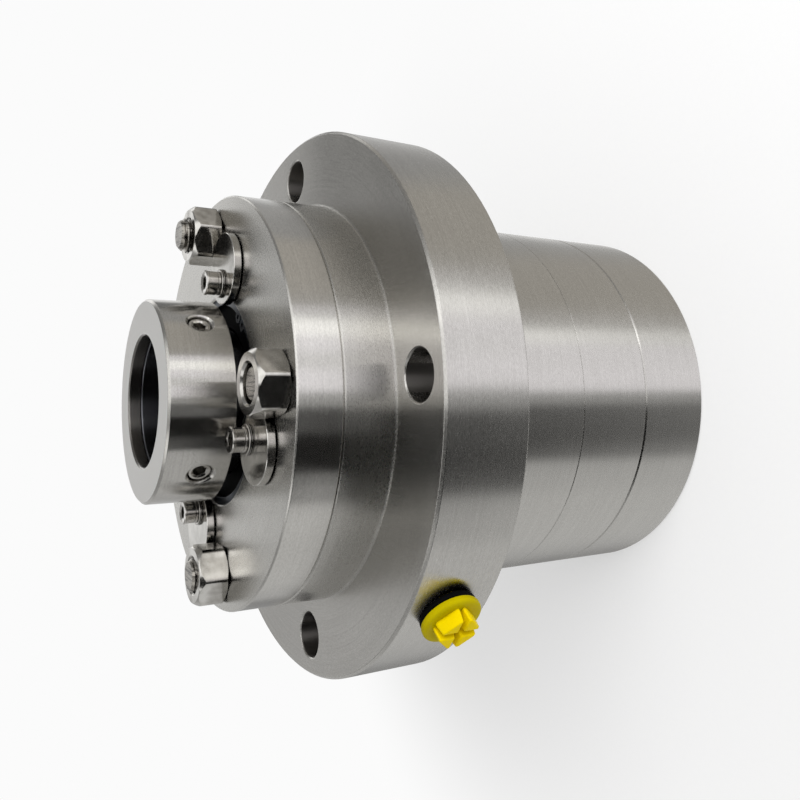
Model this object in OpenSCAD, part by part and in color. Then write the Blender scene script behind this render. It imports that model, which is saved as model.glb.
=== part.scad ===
// Cartridge mechanical seal with a drive collar, a gland plate, a mounting flange and a barrel.
// +Z runs along the shaft towards the collar, and z = 0 is the flange's mounting face.

/* [Shaft and collar] */
// Diameter of the shaft that the sleeve fits
shaft_d = 45; // [44:0.5:46]
// Wall of the shaft sleeve
sleeve_wall = 3.5; // [3.2:0.1:3.6]
// Outer diameter of the drive collar
collar_d = 70; // [68:0.5:72]
// Width of the drive collar
collar_w = 22; // [20:0.5:24]
// Gap between the gland plate and the collar
collar_gap = 4.2; // [4:0.1:5]
// Width of the lip that covers the sleeve's end
collar_lip = 4.4; // [3:0.1:5]

/* [Gland plate and flange] */
// Diameter of the gland plate and of the hub under it
gland_d = 146; // [144:1:148]
// Thickness of the gland plate
gland_t = 15; // [14:0.5:16]
// Diameter of the opening in the gland plate
gland_bore_d = 74; // [73:0.5:75]
// Height of the hub between the flange and the gland plate
hub_t = 17.5; // [17:0.5:20]
// Diameter of the mounting flange
flange_d = 200; // [194:1:210]
// Thickness of the mounting flange
flange_t = 30; // [28:0.5:32]
// Pitch circle of the mounting holes
bolt_pcd = 172; // [170:1:174]
// Diameter of the mounting holes
bolt_hole_d = 16; // [12:0.5:18]

/* [Barrel] */
// Diameter of the barrel
barrel_d = 143; // [142:0.5:144]
// Length of the spigot that is one piece with the flange
spigot_len = 47.5; // [44:0.5:50]
// Length of the middle ring
middle_len = 31; // [28:0.5:34]
// Length of the end ring
end_len = 31.5; // [31:0.5:35]
// Diameter of the chamber inside the housing
chamber_d = 96; // [94:0.5:97]

/* [Studs and clips] */
// Thread diameter of the studs
stud_d = 12; // [12:1:13]
// Pitch circle of the studs
stud_pcd = 120; // [119:0.5:122]
// Width across flats of the nuts
nut_af = 19; // [18:0.5:19]
// Height of the nuts
nut_h = 10; // [9:0.5:11]
// Diameter of a setting clip
clip_d = 25; // [23:0.5:25]
// Distance from a clip's centre to its screw
clip_offset = 5.3; // [5:0.1:5.5]
// Pitch circle of the clip screws
clip_pcd = 84.6; // [84:0.1:86]

/* [Port and plug] */
// Height of the ports above the mounting face
port_z = 15.5; // [14:0.5:16]
// Diameter of the plug's round flange
plug_flange_d = 19.5; // [19:0.5:21]
// Width of the plug's four-lobed head across its flats
plug_head_w = 11.8; // [11:0.1:12.5]
// Height of the plug's head
plug_head_h = 3.9; // [3.5:0.1:5]

/* [Hidden] */
$fn = 96;
small_fn = 32;

// Colours
steel = [0.66, 0.66, 0.65];
bright_steel = [0.72, 0.72, 0.71];
dark_steel = [0.5, 0.5, 0.5];
rubber = [0.05, 0.05, 0.05];
carbon = [0.12, 0.12, 0.13];
carbide = [0.3, 0.31, 0.33];
plug_yellow = [0.9, 0.82, 0.05];

// Levels along the shaft
hub_z = flange_t + hub_t;
gland_z = hub_z + gland_t;
collar_z = gland_z + collar_gap;
collar_top = collar_z + collar_w;
spigot_z = -spigot_len;
middle_z = spigot_z - middle_len;
barrel_z = middle_z - end_len;
sleeve_top = collar_top - collar_lip;
sleeve_z = barrel_z + 0.5;

// Radii
shaft_r = shaft_d / 2;
sleeve_r = shaft_r + sleeve_wall;
chamber_r = chamber_d / 2;
barrel_r = barrel_d / 2;
gland_bore_r = gland_bore_d / 2;
seat_pocket_r = 38;
seat_lip_r = 31.5;
seat_r = 37.9;
seat_in_r = 30;
fit = 0.05;
press = 0.02;

// Edge breaks
fine_edge = 0.15;
edge = 0.5;
flange_edge = 0.8;
end_edge = 1;

// Angles from +X, counter-clockwise seen from the collar
quarter = 90;
bolt_angle = 8;
stud_angle = 8;
clip_angle = -13.5;
set_screw_angle = -39.7;
near_port_angle = -126.3;
far_port_angle = 53.7;

// Gland plate
seat_pocket_depth = 4.5;
gland_lip_t = 4;
circlip_z = gland_z - 2.5;
circlip_t = 1.5;
circlip_groove_r = 38.6;
clip_hole_depth = 7.5;
stud_hole_r = stud_d / 2 + 0.5;

// End ring
end_lip_t = 10;
end_pocket_depth = 10;

// Seats and rotating rings, measured from the sealing face away from the seat
outboard_seat_t = 8;
inboard_seat_t = 13;
face_out = hub_z + seat_pocket_depth - outboard_seat_t;
face_in = barrel_z + end_lip_t + inboard_seat_t;
nose_h = 2;
nose_in_r = 31.5;
nose_r = 35.5;
ring_end = 12;
ring_r = 37;
ring_bore_r = sleeve_r + 0.3;
ring_groove_r = 29;
ring_groove_w = 3;
carrier_top = 16;
pocket_floor = 22;
carrier_end = 28;
carrier_r = 37;
carrier_hole_z = 25.5;
spring_pitch_r = 33;
spring_count = 6;
spring_pocket_r = 2.8;
spring_coil_r = 2.2;
wire_r = 0.4;
spring_turns = 4;
drive_pin_r = 1.6;
drive_pin_angle = 30;

// Anti-rotation pins of the seats
seat_pin_r = 1.25;
seat_pin_pitch_r = 34.5;
seat_pin_len = 5;

// Pumping ring
pump_z = -6;
pump_h = 16;
pump_r = 44;
pump_slots = 12;

// Studs and nuts
stud_root_z = hub_z - 20;
stud_out = [3.3, 1.2, 1.2, -1.2];
stud_break = 1.3;
nut_turn = [-15, 53, 20.5, -12.5];
nut_mouth_r = 6.7;

// Clips, their screws and washers
clip_lift = 0.35;
clip_top = 3;
clip_boss_r = 6;
clip_hole_r = 2.6;
clip_edge = 0.35;
washer_r = 5;
washer_t = 1;
clip_screw_r = 2.5;
clip_head_r = 4.25;
clip_head_h = 5;
clip_socket_af = 4;
clip_socket_depth = 2.6;

// Set screws of the collar
set_screw_r = 4;
set_screw_z = collar_z + 9.2;
set_screw_len = 10.6;
set_screw_sink = 1.4;
set_screw_af = 4;
set_screw_mouth_r = 4.75;

// Set screws of the parts on the sleeve
hub_screw_r = 2.5;
hub_screw_len = 6;

// Long screws of the barrel
barrel_screw_count = 6;
barrel_screw_pcd = 120;
barrel_screw_r = 4;
barrel_head_r = 6.5;
barrel_head_h = 8;
barrel_head_sink = 9;
barrel_thread = 14;
barrel_socket_af = 6;
barrel_socket_depth = 4;

// Face grooves of the housing O-rings
face_ring_r = 51;
face_ring_sec = 1.2;
face_groove_w = 3;
face_groove_d = 2.5;

// Other O-rings
seat_ring_sec = 1.1;
sleeve_ring_z = sleeve_z + 8;
sleeve_ring_sec = 1.05;
ring_ring_sec = 1.3;

// Ports and plugs
port_drill_r = 5;
port_thread_r = 6.6;
port_thread_len = 16;
plug_thread_r = 6.5;
plug_thread_len = 10;
plug_flange_t = 3;
port_ring_r = 8.2;
port_ring_sec = 1.2;
plug_base_r = 7.4;
plug_top_r = 6.45;
plug_groove_w = 3.2;
plug_groove_d = 3.4;

// A solid of revolution from an outline of [radius, height] points
module turned(outline) {
    rotate_extrude() polygon(outline);
}

// A plain ring between two heights
module ring(r_out, r_in, z0, z1) {
    turned([[r_in, z0], [r_out, z0], [r_out, z1], [r_in, z1]]);
}

// A rod along Z between two heights
module rod(r, z0, z1) {
    translate([0, 0, z0]) cylinder(r = r, h = z1 - z0, $fn = small_fn);
}

// A round-section ring at a height
module o_ring(r_mid, section, z) {
    translate([0, 0, z]) rotate_extrude() translate([r_mid, 0]) circle(r = section, $fn = 24);
}

// Copies at equal steps round the axis, at a pitch radius
module around(count, r, first) {
    for (k = [0 : count - 1]) rotate([0, 0, first + k * 360 / count]) translate([r, 0, 0]) children();
}

// A hexagonal prism across flats, turned about its own axis
module hexagon(af, z0, z1, turn) {
    translate([0, 0, z0]) rotate([0, 0, turn]) cylinder(r = af / sqrt(3), h = z1 - z0, $fn = 6);
}

// Turns a shape that stands on Z so that it points out of the rim at an angle
module radial(angle, z) {
    rotate([0, 0, angle]) translate([0, 0, z]) rotate([0, 90, 0]) children();
}

// Places a stack that is measured from a sealing face
module outboard() {
    translate([0, 0, face_out]) mirror([0, 0, 1]) children();
}

module inboard() {
    translate([0, 0, face_in]) children();
}

// The bore of a face groove for a housing O-ring, open upwards from its floor
module face_groove(z0, z1) {
    ring(face_ring_r + face_groove_w / 2, face_ring_r - face_groove_w / 2, z0, z1);
}

module gland_plate() {
    r = gland_d / 2;
    pocket = hub_z + seat_pocket_depth;
    lip = pocket + gland_lip_t;
    color(steel) difference() {
        turned([
            [seat_pocket_r, hub_z], [r - edge, hub_z], [r, hub_z + edge],
            [r, gland_z - edge], [r - edge, gland_z],
            [gland_bore_r + edge, gland_z], [gland_bore_r, gland_z - edge],
            [gland_bore_r, circlip_z + circlip_t + fit], [circlip_groove_r, circlip_z + circlip_t + fit],
            [circlip_groove_r, circlip_z - fit], [gland_bore_r, circlip_z - fit],
            [gland_bore_r, lip], [seat_lip_r, lip], [seat_lip_r, pocket],
            [seat_pocket_r, pocket], [seat_pocket_r, pocket - 1],
            [seat_pocket_r + 2.2, pocket - 1], [seat_pocket_r + 2.2, hub_z + 1],
            [seat_pocket_r, hub_z + 1]
        ]);
        around(4, stud_pcd / 2, stud_angle) rod(stud_hole_r, hub_z - 1, gland_z + 1);
        around(4, clip_pcd / 2, clip_angle)
            rod(clip_screw_r + press, gland_z - clip_hole_depth, gland_z + 1);
        around(1, seat_pin_pitch_r, 0) rod(seat_pin_r + press, hub_z, lip - 1);
    }
}

module flange_body() {
    r = flange_d / 2;
    hub_r = gland_d / 2;
    color(steel) difference() {
        turned([
            [chamber_r, spigot_z], [barrel_r - fine_edge, spigot_z], [barrel_r, spigot_z + fine_edge],
            [barrel_r, 0], [r - flange_edge, 0], [r, flange_edge],
            [r, flange_t - flange_edge], [r - flange_edge, flange_t],
            [hub_r, flange_t], [hub_r, hub_z - edge], [hub_r - edge, hub_z], [chamber_r, hub_z]
        ]);
        around(4, bolt_pcd / 2, bolt_angle) bolt_hole();
        around(4, stud_pcd / 2, stud_angle) rod(stud_d / 2 + press, stud_root_z, hub_z + 1);
        around(barrel_screw_count, barrel_screw_pcd / 2, 0)
            rod(barrel_screw_r + press, spigot_z - 1, spigot_z + barrel_thread + 1);
        radial(near_port_angle, port_z) port_hole();
        radial(far_port_angle, port_z) port_hole();
        face_groove(hub_z - face_groove_d, hub_z + 1);
        face_groove(spigot_z - 1, spigot_z + face_groove_d);
    }
}

// A mounting hole with both its edges broken
module bolt_hole() {
    rod(bolt_hole_d / 2, -1, flange_t + 1);
    translate([0, 0, flange_t - edge])
        cylinder(r1 = bolt_hole_d / 2, r2 = bolt_hole_d / 2 + 2 * edge, h = 2 * edge, $fn = small_fn);
    translate([0, 0, -edge])
        cylinder(r1 = bolt_hole_d / 2 + 2 * edge, r2 = bolt_hole_d / 2, h = 2 * edge, $fn = small_fn);
}

// A port drilled from the rim into the chamber, with a threaded mouth
module port_hole() {
    r = flange_d / 2;
    rod(port_drill_r, chamber_r - 2, r);
    rod(port_thread_r, r - port_thread_len, r + 1);
}

module middle_ring() {
    color(steel) difference() {
        turned([
            [chamber_r, middle_z], [barrel_r - edge, middle_z], [barrel_r, middle_z + edge],
            [barrel_r, spigot_z - fine_edge], [barrel_r - fine_edge, spigot_z], [chamber_r, spigot_z]
        ]);
        around(barrel_screw_count, barrel_screw_pcd / 2, 0)
            rod(barrel_screw_r + edge, middle_z - 1, spigot_z + 1);
    }
}

module end_ring() {
    lip = barrel_z + end_lip_t;
    pocket = lip + end_pocket_depth;
    color(steel) difference() {
        turned([
            [seat_lip_r + end_edge, barrel_z], [barrel_r - end_edge, barrel_z],
            [barrel_r, barrel_z + end_edge], [barrel_r, middle_z - edge], [barrel_r - edge, middle_z],
            [chamber_r, middle_z], [chamber_r, pocket], [seat_pocket_r, pocket],
            [seat_pocket_r, lip + 5.5], [seat_pocket_r + 2.2, lip + 5.5],
            [seat_pocket_r + 2.2, lip + 3], [seat_pocket_r, lip + 3], [seat_pocket_r, lip],
            [seat_lip_r, lip], [seat_lip_r, barrel_z + end_edge]
        ]);
        around(barrel_screw_count, barrel_screw_pcd / 2, 0) {
            rod(barrel_screw_r + edge, barrel_z - 1, middle_z + 1);
            rod(barrel_head_r + edge, barrel_z - 1, barrel_z + barrel_head_sink);
        }
        face_groove(middle_z - face_groove_d, middle_z + 1);
        around(1, seat_pin_pitch_r, 0) rod(seat_pin_r + press, lip - 3, lip + 1);
    }
}

module studs() {
    r = stud_d / 2;
    color(bright_steel) for (k = [0 : 3]) rotate([0, 0, stud_angle + k * quarter])
        translate([stud_pcd / 2, 0, 0]) {
            top = gland_z + nut_h + stud_out[k];
            turned_small([[0, stud_root_z], [r, stud_root_z], [r, top - stud_break],
                [r - stud_break, top], [0, top]]);
        }
}

// A small solid of revolution
module turned_small(outline) {
    rotate_extrude($fn = small_fn) polygon(outline);
}

module hex_nuts() {
    color(bright_steel) for (k = [0 : 3]) rotate([0, 0, stud_angle + k * quarter])
        translate([stud_pcd / 2, 0, gland_z])
            rotate([0, 0, nut_turn[k] - stud_angle - k * quarter]) hex_nut();
}

// A hexagon nut with both its faces chamfered to a circle and a sunk thread mouth
module hex_nut() {
    flat_r = nut_af / 2;
    corner_r = nut_af / sqrt(3);
    drop = (corner_r - flat_r) * 0.6;
    difference() {
        intersection() {
            hexagon(nut_af, 0, nut_h, 0);
            turned_small([[0, 0], [flat_r - 0.3, 0], [corner_r, drop], [corner_r, nut_h - drop * 1.5],
                [flat_r - 0.3, nut_h], [0, nut_h]]);
        }
        turned_small([[0, -1], [stud_d / 2 + press, -1], [stud_d / 2 + press, nut_h - 0.7],
            [nut_mouth_r, nut_h], [nut_mouth_r, nut_h + 1], [0, nut_h + 1]]);
    }
}

// One eccentric setting clip, swung clear of the collar
module clip(k) {
    r = clip_d / 2;
    color(bright_steel) rotate([0, 0, clip_angle + k * quarter]) translate([clip_pcd / 2, 0, gland_z])
        difference() {
            union() {
                translate([clip_offset, 0, 0]) turned([[0, clip_lift], [r - clip_edge, clip_lift],
                    [r, clip_lift + clip_edge], [r, clip_top - clip_edge],
                    [r - clip_edge, clip_top], [0, clip_top]]);
                rod(clip_boss_r, 0.02, clip_lift + 1);
            }
            rod(clip_hole_r, -1, clip_top + 1);
        }
}

module clip_washers() {
    color(bright_steel) translate([0, 0, gland_z + clip_top]) around(4, clip_pcd / 2, clip_angle)
        ring(washer_r, clip_screw_r + press, 0.02, washer_t);
}

module clip_screws() {
    base = gland_z + clip_top + washer_t;
    top = base + clip_head_h;
    root = gland_z - clip_hole_depth + 0.5;
    color(bright_steel) around(4, clip_pcd / 2, clip_angle) difference() {
        turned_small([[0, root], [clip_screw_r, root], [clip_screw_r, base], [clip_head_r, base],
            [clip_head_r, top - 0.5], [clip_head_r - 0.5, top], [0, top]]);
        hexagon(clip_socket_af, top - clip_socket_depth, top + 1, 10);
    }
}

module barrel_screws() {
    head = barrel_z + barrel_head_sink;
    face = head - barrel_head_h;
    top = spigot_z + barrel_thread;
    color(dark_steel) around(barrel_screw_count, barrel_screw_pcd / 2, 0) difference() {
        turned_small([[0, face], [barrel_head_r - 0.6, face], [barrel_head_r, face + 0.6],
            [barrel_head_r, head], [barrel_screw_r, head], [barrel_screw_r, top], [0, top]]);
        hexagon(barrel_socket_af, face - 1, face + barrel_socket_depth, 0);
    }
}

module housing_o_rings() {
    color(rubber) {
        o_ring(face_ring_r, face_ring_sec, hub_z - face_ring_sec - fit);
        o_ring(face_ring_r, face_ring_sec, spigot_z + face_ring_sec + fit);
        o_ring(face_ring_r, face_ring_sec, middle_z - face_ring_sec - fit);
    }
}

module throttle_bushing() {
    lip = hub_z + seat_pocket_depth + gland_lip_t;
    color(carbon) ring(gland_bore_r - 0.1, sleeve_r + 0.4, lip, circlip_z - 0.1);
}

// An open ring in its groove, with a lug at each side of its gap
module bushing_circlip() {
    gap_angle = -34;
    lug_step = 4.5;
    lug_r = 34;
    color(dark_steel) difference() {
        union() {
            ring(circlip_groove_r - fit, 34.4, circlip_z, circlip_z + circlip_t);
            for (side = [-1, 1]) rotate([0, 0, gap_angle + side * lug_step]) translate([lug_r, 0, 0])
                rod(2.2, circlip_z, circlip_z + circlip_t);
        }
        for (side = [-1, 1]) rotate([0, 0, gap_angle + side * lug_step]) translate([lug_r, 0, 0])
            rod(0.9, circlip_z - 1, circlip_z + circlip_t + 1);
        rotate([0, 0, gap_angle]) translate([30, -0.4, circlip_z - 1]) cube([12, 0.8, circlip_t + 2]);
    }
}

// A stationary seal ring, standing on its sealing face, with a notch for its pin
module seat(thickness) {
    difference() {
        turned([[seat_in_r, -thickness], [seat_r - edge, -thickness], [seat_r, -thickness + edge],
            [seat_r, -fine_edge], [seat_r - fine_edge, 0], [seat_in_r, 0]]);
        translate([seat_pin_pitch_r - 1.4, -1.4, -thickness - 1]) cube([6, 2.8, 3.6]);
    }
}

module outboard_seat() {
    color(carbide) outboard() seat(outboard_seat_t);
}

module inboard_seat() {
    color(carbide) inboard() seat(inboard_seat_t);
}

module seat_o_rings() {
    mid = seat_pocket_r + seat_ring_sec - fit;
    color(rubber) {
        o_ring(mid, seat_ring_sec, hub_z + 2.25);
        o_ring(mid, seat_ring_sec, barrel_z + end_lip_t + 4.25);
    }
}

module seat_pins() {
    top = hub_z + seat_pocket_depth + 3;
    bottom = barrel_z + end_lip_t - 3;
    color(bright_steel) around(1, seat_pin_pitch_r, 0) {
        rod(seat_pin_r, top - seat_pin_len, top);
        rod(seat_pin_r, bottom, bottom + seat_pin_len);
    }
}

module shaft_sleeve() {
    color(steel) difference() {
        turned([
            [shaft_r + edge, sleeve_z], [sleeve_r - edge, sleeve_z], [sleeve_r, sleeve_z + edge],
            [sleeve_r, sleeve_top - edge], [sleeve_r - edge, sleeve_top],
            [shaft_r + edge, sleeve_top], [shaft_r, sleeve_top - edge],
            [shaft_r, sleeve_ring_z + 1.3], [shaft_r + 2.2, sleeve_ring_z + 1.3],
            [shaft_r + 2.2, sleeve_ring_z - 1.3], [shaft_r, sleeve_ring_z - 1.3],
            [shaft_r, sleeve_z + edge]
        ]);
        for (k = [0 : 3]) radial(set_screw_angle + k * quarter, set_screw_z)
            rod(set_screw_r + 0.2, shaft_r - 2, sleeve_r + 2);
    }
}

module drive_collar() {
    r = collar_d / 2;
    seat = sleeve_r + press;
    color(steel) difference() {
        turned([
            [seat, collar_z], [r - edge, collar_z], [r, collar_z + edge],
            [r, collar_top - flange_edge], [r - flange_edge, collar_top],
            [shaft_r + 0.1 + edge, collar_top], [shaft_r + 0.1, collar_top - edge],
            [shaft_r + 0.1, sleeve_top + 0.1], [seat, sleeve_top + 0.1]
        ]);
        for (k = [0 : 3]) radial(set_screw_angle + k * quarter, set_screw_z) {
            rod(set_screw_r + press, sleeve_r - 2, r + 1);
            translate([0, 0, r - 0.75])
                cylinder(r1 = set_screw_r, r2 = set_screw_mouth_r + 0.75, h = 1.5, $fn = small_fn);
        }
    }
}

module collar_set_screws() {
    top = collar_d / 2 - set_screw_sink;
    root = top - set_screw_len;
    color(dark_steel) for (k = [0 : 3]) radial(set_screw_angle + k * quarter, set_screw_z) difference() {
        turned_small([[0, root], [set_screw_r - 1.6, root], [set_screw_r, root + 1.6],
            [set_screw_r, top - 0.4], [set_screw_r - 0.4, top], [0, top]]);
        hexagon(set_screw_af, top - 4, top + 1, 12);
    }
}

module sleeve_o_ring() {
    color(rubber) o_ring(shaft_r + sleeve_ring_sec + fit, sleeve_ring_sec, sleeve_ring_z);
}

// A spring carrier with its spring pockets, pin holes and set screw holes
module carrier() {
    difference() {
        turned([[sleeve_r + press, carrier_top], [carrier_r, carrier_top], [carrier_r, carrier_end - edge],
            [carrier_r - edge, carrier_end], [sleeve_r + press, carrier_end]]);
        around(spring_count, spring_pitch_r, 0) rod(spring_pocket_r, carrier_top - 1, pocket_floor);
        around(2, spring_pitch_r, drive_pin_angle) rod(drive_pin_r + press, carrier_top - 1, pocket_floor);
        for (k = [0 : 2]) radial(k * 120, carrier_hole_z)
            rod(hub_screw_r + press, sleeve_r - 1, carrier_r + 1);
    }
}

module outboard_carrier() {
    color(steel) outboard() carrier();
}

module inboard_carrier() {
    color(steel) inboard() carrier();
}

module pumping_ring() {
    color(steel) difference() {
        ring(pump_r, sleeve_r + press, pump_z, pump_z + pump_h);
        for (k = [0 : pump_slots - 1]) rotate([0, 0, k * 360 / pump_slots + 15])
            translate([pump_r - 4, 0, pump_z + pump_h / 2]) rotate([35, 0, 0])
                translate([0, -1.5, -pump_h]) cube([8, 3, 2 * pump_h]);
        for (k = [0 : 2]) radial(k * 120, pump_z + pump_h / 2)
            rod(hub_screw_r + press, sleeve_r - 1, pump_r + 1);
    }
}

// Three set screws round a part on the sleeve
module hub_screws() {
    for (k = [0 : 2]) rotate([0, 0, k * 120]) rotate([0, 90, 0]) difference() {
        rod(hub_screw_r, sleeve_r, sleeve_r + hub_screw_len);
        hexagon(2.5, sleeve_r + hub_screw_len - 2.5, sleeve_r + hub_screw_len + 1, 0);
    }
}

module hub_set_screws() {
    color(dark_steel) {
        outboard() translate([0, 0, carrier_hole_z]) hub_screws();
        inboard() translate([0, 0, carrier_hole_z]) hub_screws();
        translate([0, 0, pump_z + pump_h / 2]) hub_screws();
    }
}

// Two drive pins from the carrier into the rotating ring
module ring_pins() {
    around(2, spring_pitch_r, drive_pin_angle) rod(drive_pin_r, ring_end - 4, pocket_floor);
}

module drive_pins() {
    color(bright_steel) {
        outboard() ring_pins();
        inboard() ring_pins();
    }
}

// Corner points of a coiled wire, five to each section
function wire_ring(t, h) = [
    for (s = [0 : 4])
        let(r = spring_coil_r + wire_r * cos(s * 72))
        [r * cos(t), r * sin(t), h + wire_r * sin(s * 72)]
];

// A coil spring between two heights
module coil_spring(z0, z1) {
    steps = spring_turns * 8;
    run = z1 - z0 - 2 * wire_r;
    points = [for (k = [0 : steps]) each wire_ring(k * 45, z0 + wire_r + run * k / steps)];
    sides = [
        for (k = [0 : steps - 1]) for (s = [0 : 4])
            let(a = k * 5 + s, b = k * 5 + (s + 1) % 5)
            each [[a, b, b + 5], [a, b + 5, a + 5]]
    ];
    start = [[4, 3, 2, 1, 0]];
    finish = [[for (s = [0 : 4]) steps * 5 + s]];
    polyhedron(points = points, faces = concat(start, sides, finish), convexity = 4);
}

module spring_set() {
    around(spring_count, spring_pitch_r, 0) coil_spring(ring_end + fit, pocket_floor - fit);
}

module outboard_springs() {
    color(bright_steel) outboard() spring_set();
}

module inboard_springs() {
    color(bright_steel) inboard() spring_set();
}

// A rotating seal ring with its raised sealing nose
module face_ring() {
    groove = ring_end - 8;
    difference() {
        turned([[nose_in_r, fit], [nose_r, fit], [nose_r, nose_h], [ring_r, nose_h], [ring_r, ring_end],
            [ring_bore_r, ring_end], [ring_bore_r, groove + ring_groove_w],
            [ring_groove_r, groove + ring_groove_w], [ring_groove_r, groove], [ring_bore_r, groove],
            [ring_bore_r, nose_h], [nose_in_r, nose_h]]);
        around(2, spring_pitch_r, drive_pin_angle) rod(drive_pin_r + 0.3, ring_end - 6, ring_end + 1);
    }
}

module face_ring_o_ring() {
    mid = sleeve_r + 0.06 + ring_ring_sec;
    o_ring(mid, ring_ring_sec, ring_end - 8 + ring_groove_w / 2);
}

module outboard_ring() {
    color(carbon) outboard() face_ring();
}

module inboard_ring() {
    color(carbon) inboard() face_ring();
}

module outboard_ring_o_ring() {
    color(rubber) outboard() face_ring_o_ring();
}

module inboard_ring_o_ring() {
    color(rubber) inboard() face_ring_o_ring();
}

// A screw plug with a round flange and a head of four lobes split by crossed grooves
module plug() {
    r = flange_d / 2;
    under = r + 2 * port_ring_sec + fit;
    flange_r = plug_flange_d / 2;
    face = under + plug_flange_t;
    top = face + plug_head_h;
    half = plug_head_w / 2;
    difference() {
        union() {
            rod(plug_thread_r, r - plug_thread_len, under + 1);
            turned([[0, under], [flange_r - 0.4, under], [flange_r, under + 0.4],
                [flange_r, face - 1.1], [flange_r - 1.1, face], [0, face]]);
            intersection() {
                rotate([0, 0, 45]) translate([-half, -half, face - 1])
                    cube([plug_head_w, plug_head_w, plug_head_h + 1]);
                turned([[0, face - 1], [plug_base_r, face - 1], [plug_base_r, face],
                    [plug_top_r, top], [0, top]]);
            }
        }
        for (turn = [0, 90]) rotate([0, 0, turn]) rotate([90, 0, 0])
            linear_extrude(height = 20, center = true) polygon([
                [0.3, top - plug_groove_d], [plug_groove_w / 2, top], [plug_groove_w / 2, top + 1],
                [-plug_groove_w / 2, top + 1], [-plug_groove_w / 2, top], [-0.3, top - plug_groove_d]]);
        rod(plug_thread_r - 1.8, r - plug_thread_len - 1, r);
    }
}

module port_plug(angle) {
    color(plug_yellow) radial(angle, port_z) plug();
}

module port_o_ring(angle) {
    color(rubber) radial(angle, port_z)
        o_ring(port_ring_r, port_ring_sec, flange_d / 2 + port_ring_sec + fit / 2);
}

gland_plate();
flange_body();
middle_ring();
end_ring();
studs();
hex_nuts();
clip(0);  // clip_1
clip(3);  // clip_2
clip(2);  // clip_3
clip(1);  // clip_4
clip_screws();
clip_washers();
barrel_screws();
housing_o_rings();
throttle_bushing();
bushing_circlip();
outboard_seat();
inboard_seat();
seat_o_rings();
seat_pins();
shaft_sleeve();
drive_collar();
collar_set_screws();
sleeve_o_ring();
outboard_carrier();
inboard_carrier();
pumping_ring();
hub_set_screws();
drive_pins();
outboard_springs();
inboard_springs();
outboard_ring();
outboard_ring_o_ring();
inboard_ring();
inboard_ring_o_ring();
port_plug(near_port_angle);  // port_plug_near
port_o_ring(near_port_angle);  // port_o_ring_near
port_plug(far_port_angle);  // port_plug_far
port_o_ring(far_port_angle);  // port_o_ring_far
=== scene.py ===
"""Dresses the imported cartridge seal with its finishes, threads, springs and fasteners, in a plain studio.

Lengths are in metres unless a name or comment says millimetres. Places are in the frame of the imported
part: +Z runs along the shaft towards the drive collar, and z = 0 is the flange's mounting face.
"""

import logging
import math
from dataclasses import dataclass, field
from enum import Enum

import bmesh
import bpy
from bpy.types import ID, Material, Mesh, Node, NodeSocket, NodeTree, Object
from mathutils import Matrix, Vector


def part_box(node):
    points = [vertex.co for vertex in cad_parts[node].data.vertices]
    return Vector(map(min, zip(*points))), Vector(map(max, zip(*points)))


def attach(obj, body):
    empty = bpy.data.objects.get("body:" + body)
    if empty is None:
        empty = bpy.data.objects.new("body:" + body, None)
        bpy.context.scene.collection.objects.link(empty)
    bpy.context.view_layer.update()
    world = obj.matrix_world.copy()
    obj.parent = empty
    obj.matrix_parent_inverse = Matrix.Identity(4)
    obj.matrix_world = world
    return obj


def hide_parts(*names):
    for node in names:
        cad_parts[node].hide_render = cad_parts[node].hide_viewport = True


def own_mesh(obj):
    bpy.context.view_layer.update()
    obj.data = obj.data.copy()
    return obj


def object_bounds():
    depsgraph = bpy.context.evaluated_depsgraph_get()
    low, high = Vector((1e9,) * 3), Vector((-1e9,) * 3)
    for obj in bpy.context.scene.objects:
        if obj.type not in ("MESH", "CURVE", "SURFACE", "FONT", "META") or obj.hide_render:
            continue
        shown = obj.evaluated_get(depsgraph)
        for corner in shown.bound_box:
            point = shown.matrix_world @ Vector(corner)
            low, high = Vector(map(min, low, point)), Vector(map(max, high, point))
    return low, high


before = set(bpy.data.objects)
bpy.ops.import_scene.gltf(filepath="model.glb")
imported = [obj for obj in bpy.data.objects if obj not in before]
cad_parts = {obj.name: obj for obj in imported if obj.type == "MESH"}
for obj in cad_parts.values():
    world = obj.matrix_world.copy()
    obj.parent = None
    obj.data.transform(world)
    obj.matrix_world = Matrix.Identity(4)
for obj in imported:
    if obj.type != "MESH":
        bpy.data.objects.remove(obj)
CAD_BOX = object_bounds()

MM = 0.001
HUB_FOOT = 30 * MM
LOG = logging.getLogger("seal")

HOUSING = "housing"
ROTOR = "rotor"

# What a node's input takes
Input = float | tuple | str | Node | NodeSocket


def linear(code: str) -> tuple[float, float, float, float]:
    """Turns an sRGB hex colour into linear light, with an alpha of 1."""
    shares = [int(code[i:i + 2], 16) / 255 for i in (1, 3, 5)]
    red, green, blue = [s / 12.92 if s <= 0.04045 else ((s + 0.055) / 1.055) ** 2.4 for s in shares]
    return red, green, blue, 1.0


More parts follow.
